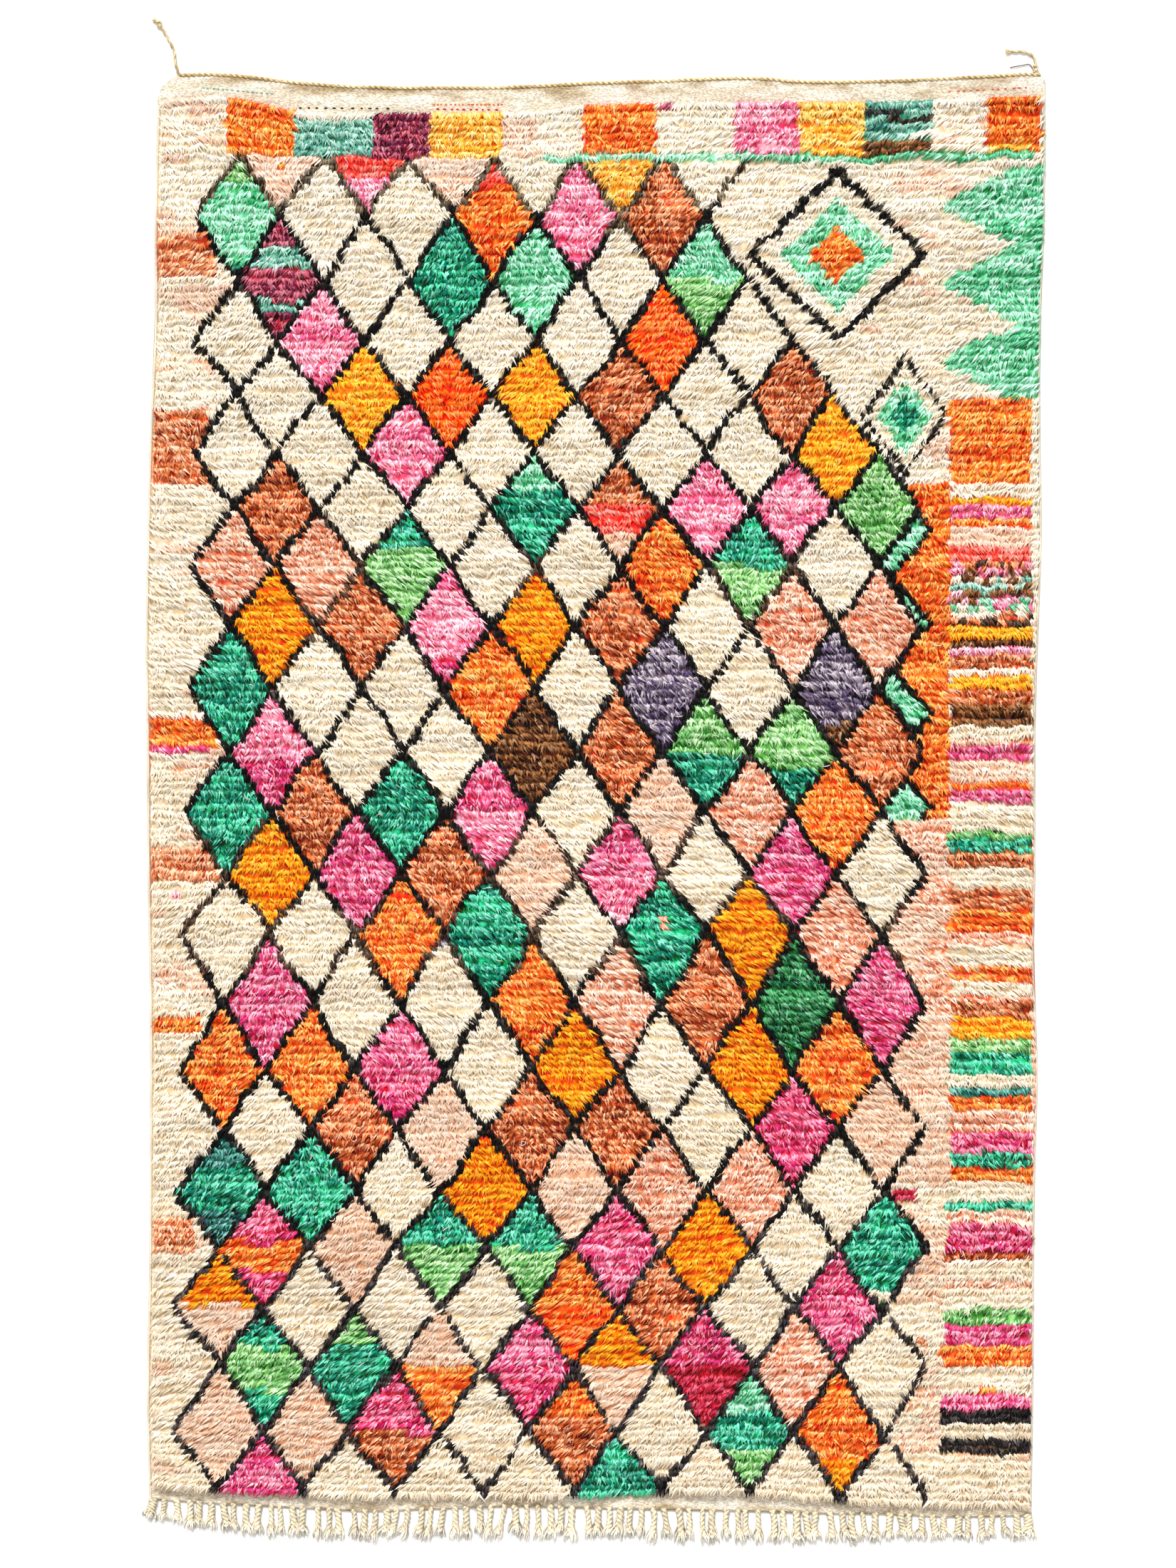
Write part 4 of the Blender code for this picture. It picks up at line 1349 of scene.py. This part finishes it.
def woven_material(name, finish):
    """Flat weave: wool with short slanting wefts over it, in colour and relief."""
    material = wool_material(name, finish)
    tree = material.node_tree
    wool = tree.nodes["Principled BSDF"].inputs
    place = tree.nodes.new("ShaderNodeTexCoord")
    turn = new_node(tree, "ShaderNodeMapping", Rotation=(0.0, 0.0, WEFT_SLANT), Scale=WEFT_SCALE)
    tree.links.new(place.outputs["Object"], turn.inputs["Vector"])
    colour = wool["Base Color"].links[0].from_socket
    normal = wool["Normal"].links[0].from_socket
    add_grain(tree, WEFT_GRAIN, turn.outputs["Vector"], colour, normal)
    return material


def line_along_cloth(x, along):
    """Y at places along the cloth: 0 to 1 over the heading's band, 1 to 2 under the pile and 2 to 3 over
    the fringe's band."""
    top = heading_edge(x) - HEADING_CORD_DIAMETER * CORD_SEAT
    lines = np.stack([top, pile_start(x), pile_end(x), fringe_edge(x)])
    band = np.clip(along.astype(int), 0, 2)
    low = np.take_along_axis(lines, band[None], 0)[0]
    high = np.take_along_axis(lines, band[None] + 1, 0)[0]
    return low + (high - low) * (along - band)


def round_corner(x, y, side, edge, radius):
    """Draw the points near a corner of the cloth in to a quarter circle."""
    centre_x = edge - side * radius
    centre_y = heading_edge(centre_x) - HEADING_CORD_DIAMETER * CORD_SEAT - radius
    out_x, out_y = (x - centre_x) * side, y - centre_y
    longest = np.maximum(out_x, out_y)
    length = np.maximum(np.hypot(out_x, out_y), TINY)
    reach = np.minimum(longest / radius, 1.0)
    scale = np.where((out_x > 0) & (out_y > 0), 1 + (longest / length - 1) * reach, 1.0)
    return centre_x + side * out_x * scale, centre_y + out_y * scale


def place_on_cloth(across, along):
    """Points of the cloth's flat outline, with its round corners: across is 0 to 1 from side to side."""
    rough_y = line_along_cloth((across - 0.5) * 2 * HALF_WIDTH, along)
    left, right = left_side(rough_y), right_side(rough_y)
    x = left + (right - left) * across
    y = line_along_cloth(x, along)
    x, y = round_corner(x, y, -1, left, LEFT_CORNER_RADIUS)
    return round_corner(x, y, 1, right, RIGHT_CORNER_RADIUS)


def band_colours(x, y):
    """Colours of the two woven bands: greige, taupe where they are worn and at their edges, and pale."""
    greige, taupe, pale = (linear_colour(code) for code in BAND_SHADES)
    wear = ripple_at(x, y, BAND_WEAR) + ripple_at(x, y, BAND_SPECKS)
    to_edge = np.minimum(heading_edge(x) - y, (y - fringe_edge(x)) * FRINGE_WEAR_PACE)
    rim = RIM_DARK * np.clip(RIM_START - to_edge / RIM_REACH, 0, 1)
    dark = np.clip(WEAR_START - to_edge / WEAR_REACH - WEAR_DARKENS * wear + rim, 0, WEAR_MOST)
    light = np.clip(WEAR_PALES * wear + PALE_START, 0, 1)
    return blend(blend(greige, taupe, dark[:, None]), pale, light[:, None])


def cloth_colours(x, y):
    """Colours of the ground cloth: its woven bands, and yarn under the pile deepened as painted shade."""
    knot = (x + HALF_WIDTH) / KNOT_WIDTH
    row = (PILE_START - y) / ROW_PITCH
    yarn, patch = yarn_chart(knot, row)
    # Painted shade: the yarn under the pile is deepened
    under_pile = yarn_colours(yarn, patch, knot, row, np.floor(knot)) ** BED_SHADE
    in_pile = (y < pile_start(x) - PILE_LAP) & (y > pile_end(x) + PILE_LAP)
    return np.where(in_pile[:, None], under_pile, band_colours(x, y))


def buckle_at(x, y):
    """How far the woven bands stand up in their shallow buckles."""
    return np.maximum(ripple_at(x, y, BAND_BUCKLES), 0)


def make_cloth(material):
    """The ground cloth: a thin sheet whose two woven bands buckle a little."""
    row_places = np.concatenate([
        np.linspace(0, 1, HEADING_BAND_ROWS, endpoint=False),
        np.linspace(1, 2, CLOTH_ROWS, endpoint=False),
        np.linspace(2, 3, FRINGE_BAND_ROWS),
    ])
    cloth, across, row = add_grid("ground_cloth", CLOTH_COLUMNS, len(row_places) - 1)
    along = row_places[row]
    x, y = place_on_cloth(across, along)
    in_band = (along < 1) | (along > 2)
    z = CLOTH_THICKNESS + buckle_at(x, y) * in_band * ramp(np.minimum(along, 3 - along), BUCKLE_FADE)
    set_points(cloth.data, np.stack([x, y, z], axis=-1))
    paint(cloth.data, cloth_colours(x, y))
    solid = cloth.modifiers.new("thickness", "SOLIDIFY")
    solid.thickness = SHEET_THICKNESS
    solid.offset = -1.0
    bpy.ops.object.modifier_apply(modifier=solid.name)
    cloth.data.shade_smooth()
    cloth.data.materials.append(material)
    return cloth


def smooth_line(route, spacing, height):
    """Points along a smooth curve through a route's own points, at one height."""
    stops = np.array([route[0], *route, route[-1]])
    t = np.arange(ROUTE_STEPS) / ROUTE_STEPS
    weights = np.stack([
        -t + 2 * t**2 - t**3,
        2 - 5 * t**2 + 3 * t**3,
        t + 4 * t**2 - 3 * t**3,
        t**3 - t**2,
    ], axis=-1) / 2
    spans = [weights @ stops[i : i + 4] for i in range(len(route) - 1)]
    fine = np.concatenate(spans + [stops[-1:]])
    run = run_along(fine)
    wanted = np.linspace(0, run[-1], max(2, round(run[-1] / spacing)) + 1)
    x, y = (np.interp(wanted, run, fine[:, axis]) for axis in range(2))
    return np.stack([x, y, np.full_like(x, height)], axis=-1)


def wind_plies(points, offset, pitch, start_turn):
    """Lines of the plies that wind about a line of points, close to the floor's plane."""
    ahead = unit(np.gradient(points, axis=0))
    side = unit(np.column_stack([left_of(ahead), np.zeros(len(points))]))
    up = np.cross(ahead, side)
    lines = []
    for ply in range(PLIES):
        turn = 2 * math.pi * (start_turn + ply / PLIES + run_along(points) / pitch)
        lines.append(points + offset * (side * np.cos(turn)[:, None] + up * np.sin(turn)[:, None]))
    return lines


def make_tubes(name, lines, radii, resolution):
    """One mesh of round tubes along several lines, each with its own radius at every point."""
    deselect_all()
    curve = bpy.data.curves.new(name, "CURVE")
    curve.dimensions = "3D"
    curve.bevel_depth = TUBE_RADIUS
    curve.bevel_resolution = resolution
    curve.use_fill_caps = True
    for line, radius in zip(lines, radii):
        spline = curve.splines.new("POLY")
        spline.points.add(len(line) - 1)
        spots = np.ones((len(line), 4))
        spots[:, :3] = line
        spline.points.foreach_set("co", spots.ravel())
        spline.points.foreach_set("radius", np.broadcast_to(radius, len(line)) / TUBE_RADIUS)
    thing = bpy.data.objects.new(name, curve)
    bpy.context.scene.collection.objects.link(thing)
    thing.select_set(True)
    bpy.context.view_layer.objects.active = thing
    bpy.ops.object.convert(target="MESH")
    bpy.ops.object.mode_set(mode="EDIT")
    bpy.ops.mesh.select_all(action="SELECT")
    bpy.ops.mesh.remove_doubles(threshold=MERGE_DISTANCE)
    bpy.ops.object.mode_set(mode="OBJECT")
    thing.data.shade_smooth()
    return thing


def make_heading_cord(material):
    """The twined cord along the heading, wound from two thick plies."""
    start = float(left_side(HEADING_Y)) + LEFT_CORNER_RADIUS - HEADING_LEFT_LAP
    end = float(right_side(HEADING_Y)) - RIGHT_CORNER_RADIUS + HEADING_RIGHT_LAP
    x = np.linspace(start, end, round((end - start) / HEADING_STEP))
    radius = HEADING_CORD_DIAMETER / 2
    points = np.stack([x, heading_edge(x) - radius, np.full_like(x, radius)], axis=-1)
    lines = wind_plies(points, radius * PLY_OFFSET, HEADING_PITCH, 0.0)
    ply = radius * (1 - PLY_OFFSET) * (1 + ripple_at(x, x, PLY_SWELL))
    cord = make_tubes("heading_twine", lines, [ply] * PLIES, 1)
    place = read_mesh(cord.data)[0][:, :1]
    # Painted shade in the waists between the nubs, and towards the floor
    nub_shade = 1 + NUB_SHADE * np.cos(place / NUB_PITCH * 2 * math.pi)
    tone = painted_height_shade(cord, HEADING_CORD_DIAMETER, HEADING_SHADING) * nub_shade
    return dress(cord, HEADING_SHADES, HEADING_TINTS, material, tone)


def make_selvedge(name, side_line, sign, corner, material):
    """One corded side, overcast with fine yarn in tight ribs."""
    count = round((HEADING_Y - FRINGE_Y) / RIB_PITCH)
    y = np.linspace(HEADING_Y - corner, FRINGE_Y + SELVEDGE_FOOT, count * 2)
    x = side_line(y) - sign * SELVEDGE_RADIUS
    points = np.stack([x, y, np.full_like(x, SELVEDGE_RADIUS + SELVEDGE_LIFT)], axis=-1)
    ribs = SELVEDGE_RADIUS * np.where(np.arange(len(y)) % 2, 1.0, RIB_WAIST)
    ribs = ribs * (1 + ripple_at(y, y, RIB_SWELL))
    ribs[[0, -1]] *= SELVEDGE_TIP
    edge = make_tubes(name, [points], [ribs], 1)
    return dress(edge, SELVEDGE_SHADES, SELVEDGE_TINTS, material)


def make_stitches(number, stitch_row, material):
    """One dashed row of stitches that lie on the heading's band."""
    start, end = np.array(stitch_row[:2]), np.array(stitch_row[2:4])
    length = float(np.linalg.norm(end - start))
    wobble = random.Random(STITCH_SEED + number)
    lines = []
    for step in range(int(length / stitch_row.pitch)):
        run = (step + wobble.uniform(*STITCH_GAP)) * stitch_row.pitch
        reach = STITCH_LENGTH * wobble.uniform(*STITCH_REACH)
        spots = start + np.outer(run + reach * np.array(STITCH_PLACES), (end - start) / length)
        height = CLOTH_THICKNESS + buckle_at(*spots.T) + STITCH_RADIUS / 2
        lines.append(np.column_stack([spots, height]))
    radii = [np.multiply(STITCH_RADIUS, STITCH_SWELL)] * len(lines)
    stitches = make_tubes(f"stitches_{number + 1}", lines, radii, 0)
    return dress(stitches, YARNS[stitch_row.yarn], STITCH_TINTS, material)


def lies_on(names, x, y):
    """Whether the knot at a place on the pile is of one of the named yarns."""
    row = (PILE_START - y) / ROW_PITCH
    yarn, _ = yarn_chart(np.array([knot_at(x, row)]), np.array([row]))
    return YARN_NAMES[yarn[0]] in names


def make_stray_fibres(material):
    """Single fibres that curl loosely on top of the pile."""
    wobble = random.Random(STRAY_SEED)
    count = len(STRAY_SWELL)
    lines = []
    while len(lines) < STRAY_COUNT:
        x, y = wobble.uniform(*STRAY_X), wobble.uniform(*STRAY_Y)
        turn, bend = wobble.uniform(0, 2 * math.pi), wobble.uniform(-STRAY_BEND, STRAY_BEND)
        step = STRAY_LENGTH * wobble.uniform(*STRAY_REACH) / count
        if not lies_on(STRAY_YARNS, x, y):
            continue
        turns = turn + bend * np.linspace(0, 1, count)
        spots = np.stack([x + np.cumsum(np.cos(turns)) * step, y + np.cumsum(np.sin(turns)) * step])
        lines.append(np.column_stack([*spots, pile_top(*spots) + STRAY_LIFT]))
    radii = [np.multiply(STRAY_RADIUS, STRAY_SWELL)] * STRAY_COUNT
    fibres = make_tubes("stray_fibres", lines, radii, 0)
    return dress(fibres, STRAY_SHADES, STRAY_TINTS, material)


def strand_roots():
    """Where the tassels leave the cloth, evenly uneven across it."""
    left = float(left_side(FRINGE_Y)) + STRAND_WIDTH
    right = float(right_side(FRINGE_Y)) - STRAND_WIDTH
    pitch = (right - left) / (STRAND_COUNT - 1)
    wobble = random.Random(ROOT_SEED)
    inner = range(1, STRAND_COUNT - 1)
    places = [left + pitch * (i + wobble.uniform(-ROOT_SCATTER, ROOT_SCATTER)) for i in inner]
    return [left] + places + [right]


def strand_tips(roots):
    """Where the tassels end, leaning as they fell, with each tip clear of the one before."""
    wobble = random.Random(TIP_SEED)
    tips = []
    for root in roots:
        lean = float(read_table(FRINGE, "x", "lean", root)) + wobble.uniform(-LEAN_SCATTER, LEAN_SCATTER)
        reach = float(read_table(FRINGE, "x", "reach", root))
        reach *= 1 + wobble.uniform(-REACH_SCATTER, REACH_SCATTER)
        x = root + lean
        if tips:
            x = max(x, tips[-1][0] + STRAND_ROOM)
        tips.append((x, float(fringe_edge(root)) - reach))
    return tips


def tuft_fibre(number, wobble):
    """Line of one loose fibre of a tassel's tuft."""
    spread = (number + 0.5) / TASSEL_FIBRES * 2 - 1 + wobble.uniform(-FIBRE_SPREAD, FIBRE_SPREAD)
    start = wobble.uniform(*FIBRE_START)
    end = wobble.uniform(*FIBRE_END)
    share = np.linspace(0, 1, len(TUFT_SWELL))
    bulge = np.sin(share * math.pi * FIBRE_BULGE)
    x = spread * TASSEL_FLARE * bulge + wobble.uniform(-FIBRE_CURL, FIBRE_CURL) * share
    rise = wobble.uniform(*FIBRE_RISE) * np.sin(share * math.pi * FIBRE_ARCH)
    y = (start + (end - start) * share) * TASSEL_LENGTH
    return np.stack([x, y, np.maximum(TASSEL_RADIUS * (1 + rise), LEAST_HEIGHT)], axis=-1)


def model_tassel(number):
    """One straight tassel of unit length along Y: two plies that open into a tuft of loose fibres."""
    wobble = random.Random(TASSEL_SEED + number)
    along = np.linspace(*TASSEL_BODY, TASSEL_STEPS)
    middle = np.outer(along, (0, TASSEL_LENGTH, 0)) + (0, 0, TASSEL_RADIUS)
    lines = wind_plies(middle, TASSEL_RADIUS * PLY_OFFSET, TASSEL_PITCH, wobble.uniform(0, 1))
    swell = 1 + TASSEL_SWELL * np.sin(along * TASSEL_SWELL_PACE + number)
    radii = [TASSEL_RADIUS * (1 - PLY_OFFSET) * swell] * PLIES
    for fibre in range(TASSEL_FIBRES):
        lines.append(tuft_fibre(fibre, wobble))
        radii.append(np.multiply(TUFT_RADIUS, TUFT_SWELL))
    tassel = make_tubes("tassel", lines, radii, 0)
    points = read_mesh(tassel.data)[0]
    points[:, 1] /= TASSEL_LENGTH
    return tassel, points


def bow_tassel(points, root, tip, bow, width):
    """Points of a tassel laid along its bow from its root to its tip."""
    t = points[:, 1:2]
    line = root * (1 - t) ** 2 + bow * 2 * t * (1 - t) + tip * t**2
    ahead = (bow - root) * (1 - t) + (tip - bow) * t
    place = line + left_of(unit(ahead)) * points[:, :1] * width
    return np.column_stack([place, points[:, 2]])


def tassel_colours(tassel, points, number):
    """Colours of a tassel: a twisted body, and a paler tuft, with painted shade along the twist of its
    plies and towards the floor.
    """
    body, tuft = (linear_colour(code) for code in FRINGE_SHADES)
    pale = ramp(points[:, 1:2] - TUFT_START, TUFT_FADE)
    least, most = TASSEL_TONES
    tone = least + (most - least) * float(scatter(np.float64(number), 6.0))
    # Painted shade along the twist of the plies
    twist_shade = np.cos(points[:, 1:2] * TASSEL_LENGTH / TASSEL_PITCH * 2 * PLIES * math.pi + number)
    # Painted shade, darker towards the floor
    depth = painted_height_shade(tassel, TASSEL_RADIUS, TASSEL_SHADING)
    return blend(body, tuft, pale) * tone * depth * (1 + TASSEL_TWIST_SHADE * twist_shade * (1 - pale))


def lay_tassel(number, root_x, tip, kind, wobble):
    """One tassel of the fringe, a copy of its kind, turned over where its number is odd."""
    pattern, points = kind
    root, tip = np.array([root_x, float(fringe_edge(root_x))]), np.array(tip)
    bow = np.array([root_x + wobble.uniform(-TASSEL_BOW, TASSEL_BOW), (root[1] + tip[1]) / 2])
    at_corner = number in (0, STRAND_COUNT - 1)
    width = CORNER_TASSEL_WIDTH if at_corner else wobble.uniform(*TASSEL_WIDTHS)
    turned = number % 2 == 1
    tassel = pattern.copy()
    tassel.data = pattern.data.copy()
    bpy.context.scene.collection.objects.link(tassel)
    set_points(tassel.data, bow_tassel(points, root, tip, bow, -width if turned else width))
    paint(tassel.data, tassel_colours(tassel, points, number))
    if turned:
        tassel.data.flip_normals()
    return tassel


def make_fringe(material):
    """The fringe of twisted tassels, each bowed the way it fell."""
    roots = strand_roots()
    kinds = [model_tassel(number) for number in range(TASSEL_KINDS)]
    wobble = random.Random(BOW_SEED)
    pieces = []
    for number, (root_x, tip) in enumerate(zip(roots, strand_tips(roots))):
        pieces.append(lay_tassel(number, root_x, tip, kinds[number % TASSEL_KINDS], wobble))
    for pattern, _ in kinds:
        bpy.data.objects.remove(pattern, do_unlink=True)
    deselect_all()
    for piece in pieces:
        piece.select_set(True)
    bpy.context.view_layer.objects.active = pieces[0]
    bpy.ops.object.join()
    fringe = bpy.context.object
    fringe.name = "tassels"
    fringe.data.materials.clear()
    fringe.data.materials.append(material)
    return fringe


def fray(name, end, ahead, material):
    """A tuft of loose fibres that opens from a cord's end."""
    wobble = random.Random(FRAY_SEED)
    ahead = unit(ahead)
    side = np.append(left_of(ahead), 0.0)
    share = np.linspace(0, 1, len(FRAY_SWELL))
    lines = []
    for _ in range(FRAY_FIBRES):
        reach = FRAY_ROOT + FRAY_LENGTH * wobble.uniform(*FRAY_REACH)
        out = FRAY_SPREAD * wobble.uniform(-1, 1) * np.sin(share * math.pi * FRAY_ARCH)
        out = out + FRAY_CURL * np.sin(share * FRAY_CURLS + wobble.uniform(0, FRAY_TURN)) * share
        line = end - ahead * FRAY_ROOT + np.outer(share * reach, ahead) + np.outer(out, side)
        rise = wobble.uniform(*FRAY_RISE) * np.sin(share * FRAY_SAG)
        line[:, 2] = np.maximum(end[2] * (1 + rise), LEAST_HEIGHT)
        lines.append(line)
    radii = [np.multiply(FRAY_RADIUS, FRAY_SWELL)] * FRAY_FIBRES
    tuft = make_tubes(name, lines, radii, 0)
    return dress(tuft, CORD_SHADES, FRAY_TINTS, material, FRAY_TONE)


def make_knot(name, route, share, material):
    """A small knot round a loose cord, a share of the way along its route."""
    points = smooth_line(route, CORNER_STEP, CORNER_CORD_DIAMETER / 2)
    middle = points[round(share * (len(points) - 1))]
    turn = np.linspace(0, 2 * math.pi * KNOT_TURNS, KNOT_POINTS)
    ring = KNOT_RADIUS * (1 + KNOT_GROWTH * turn)
    line = middle + np.stack([np.cos(turn) * ring, np.sin(turn) * ring, KNOT_RISE * turn], axis=-1)
    knot = make_tubes(name, [line], [CORNER_CORD_DIAMETER * KNOT_TUBE], 1)
    return dress(knot, CORD_SHADES, KNOT_TINTS, material)


def make_loose_thread(material):
    """A thin dark thread caught in the right cord's knot."""
    line = smooth_line(THREAD_ROUTE, CORNER_STEP, THREAD_RADIUS * 2)
    thread = make_tubes("right_loose_thread", [line], [THREAD_RADIUS], 0)
    return dress(thread, THREAD_SHADES, THREAD_TINTS, material)


def make_corner_cord(name, route, start_turn, caught, material):
    """One loose end of the heading cord, two plies twisted, with a frayed end and what is caught in it."""
    radius = CORNER_CORD_DIAMETER / 2
    points = smooth_line(route, CORNER_STEP, radius)
    length = float(run_along(points)[-1])
    lines = wind_plies(points, radius * CORNER_PLY_OFFSET, CORNER_PITCH, start_turn)
    taper = np.clip(np.linspace(length, 0, len(points)) / CORNER_TAPER, CORNER_TIP, 1)
    cord = make_tubes(name, lines, [radius * (1 - CORNER_PLY_OFFSET) * taper] * PLIES, 2)
    # Painted shade: the cord is darker towards the floor
    tone = painted_height_shade(cord, CORNER_CORD_DIAMETER, CORNER_SHADING)
    dress(cord, CORD_SHADES, CORNER_TINTS, material, tone)
    last_stretch = points[-1] - points[-4]
    tuft = fray(name + "_fray", points[-1], last_stretch, material)
    for piece in [cord, tuft] + caught:
        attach(piece, "root")
    return cord


def make_corner_cords(material):
    """Both loose ends of the heading cord, each with its knot, and the thread in the right one."""
    left_knot = make_knot("left_cord_knot", LEFT_CORD_ROUTE, LEFT_KNOT_SHARE, material)
    right_knot = make_knot("right_cord_knot", RIGHT_CORD_ROUTE, RIGHT_KNOT_SHARE, material)
    caught = [right_knot, make_loose_thread(material)]
    left = make_corner_cord("left_loose_cord", LEFT_CORD_ROUTE, 0.0, [left_knot], material)
    turn = RIGHT_CORD_TURN
    right = make_corner_cord("right_loose_cord", RIGHT_CORD_ROUTE, turn, caught, material)
    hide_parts("left_corner_cord")
    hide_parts("right_corner_cord")


def make_floor():
    """A plain pale floor."""
    deselect_all()
    bpy.ops.mesh.primitive_plane_add(size=FLOOR_SIZE, location=(0, 0, FLOOR_Z))
    floor = bpy.context.object
    floor.name = "floor"
    material = bpy.data.materials.new("floor")
    material.use_nodes = True
    shader = material.node_tree.nodes["Principled BSDF"]
    shader.inputs["Base Color"].default_value = FLOOR_COLOUR
    shader.inputs["Roughness"].default_value = FLOOR_ROUGHNESS
    floor.data.materials.append(material)


def make_light():
    """Soft light from beyond the heading, with an even fill."""
    sun = bpy.data.lights.new("key", "SUN")
    sun.energy = SUN_STRENGTH
    sun.angle = math.radians(SUN_WIDTH)
    lamp = bpy.data.objects.new("key", sun)
    lamp.rotation_euler = [math.radians(turn) for turn in SUN_TURN]
    bpy.context.scene.collection.objects.link(lamp)
    world = bpy.data.worlds.new("room")
    world.use_nodes = True
    fill = world.node_tree.nodes["Background"].inputs
    fill["Color"].default_value = FILL_COLOUR
    fill["Strength"].default_value = FILL_STRENGTH
    bpy.context.scene.world = world


def make_camera():
    """A camera straight above, far enough away to keep the rug's sides straight."""
    camera = bpy.data.cameras.new("camera")
    camera.sensor_fit = "AUTO"
    camera.sensor_width = SENSOR
    camera.lens = SENSOR * (CAMERA_HEIGHT - PILE_HEIGHT) / VIEW_LENGTH
    camera.clip_end = CAMERA_REACH
    thing = bpy.data.objects.new("camera", camera)
    thing.location = (*VIEW_CENTRE, CAMERA_HEIGHT)
    bpy.context.scene.collection.objects.link(thing)
    bpy.context.scene.camera = thing
    bpy.context.scene.view_settings.view_transform = "Standard"
    bpy.context.scene.view_settings.look = "None"


def declare_pieces(cloth, pile, edges, loose, heading, fringe):
    """Attach every piece to the root, and hide the solids of the part that the pieces take the place of.
    """
    for piece in [cloth, heading, fringe] + pile + edges + loose:
        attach(piece, "root")
    for piece in [cloth] + pile + edges:
        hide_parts("rug")
    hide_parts("heading_cord")
    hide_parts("fringe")


def main():
    make_camera()
    wool = wool_material("pile_wool", PILE_FINISH)
    cord_wool = wool_material("cord_wool", CORD_FINISH)
    weave = woven_material("flat_weave", CORD_FINISH)
    make_corner_cords(cord_wool)
    make_light()
    make_floor()
    cloth = make_cloth(weave)
    pile = [make_bed(wool)] + make_pile(wool)
    edges = [
        make_selvedge("left_selvedge", left_side, -1, LEFT_CORNER_RADIUS, cord_wool),
        make_selvedge("right_selvedge", right_side, 1, RIGHT_CORNER_RADIUS, cord_wool),
    ]
    loose = [make_stitches(number, row, cord_wool) for number, row in enumerate(STITCHES)]
    loose.append(make_stray_fibres(cord_wool))
    heading = make_heading_cord(cord_wool)
    declare_pieces(cloth, pile, edges, loose, heading, make_fringe(cord_wool))


main()
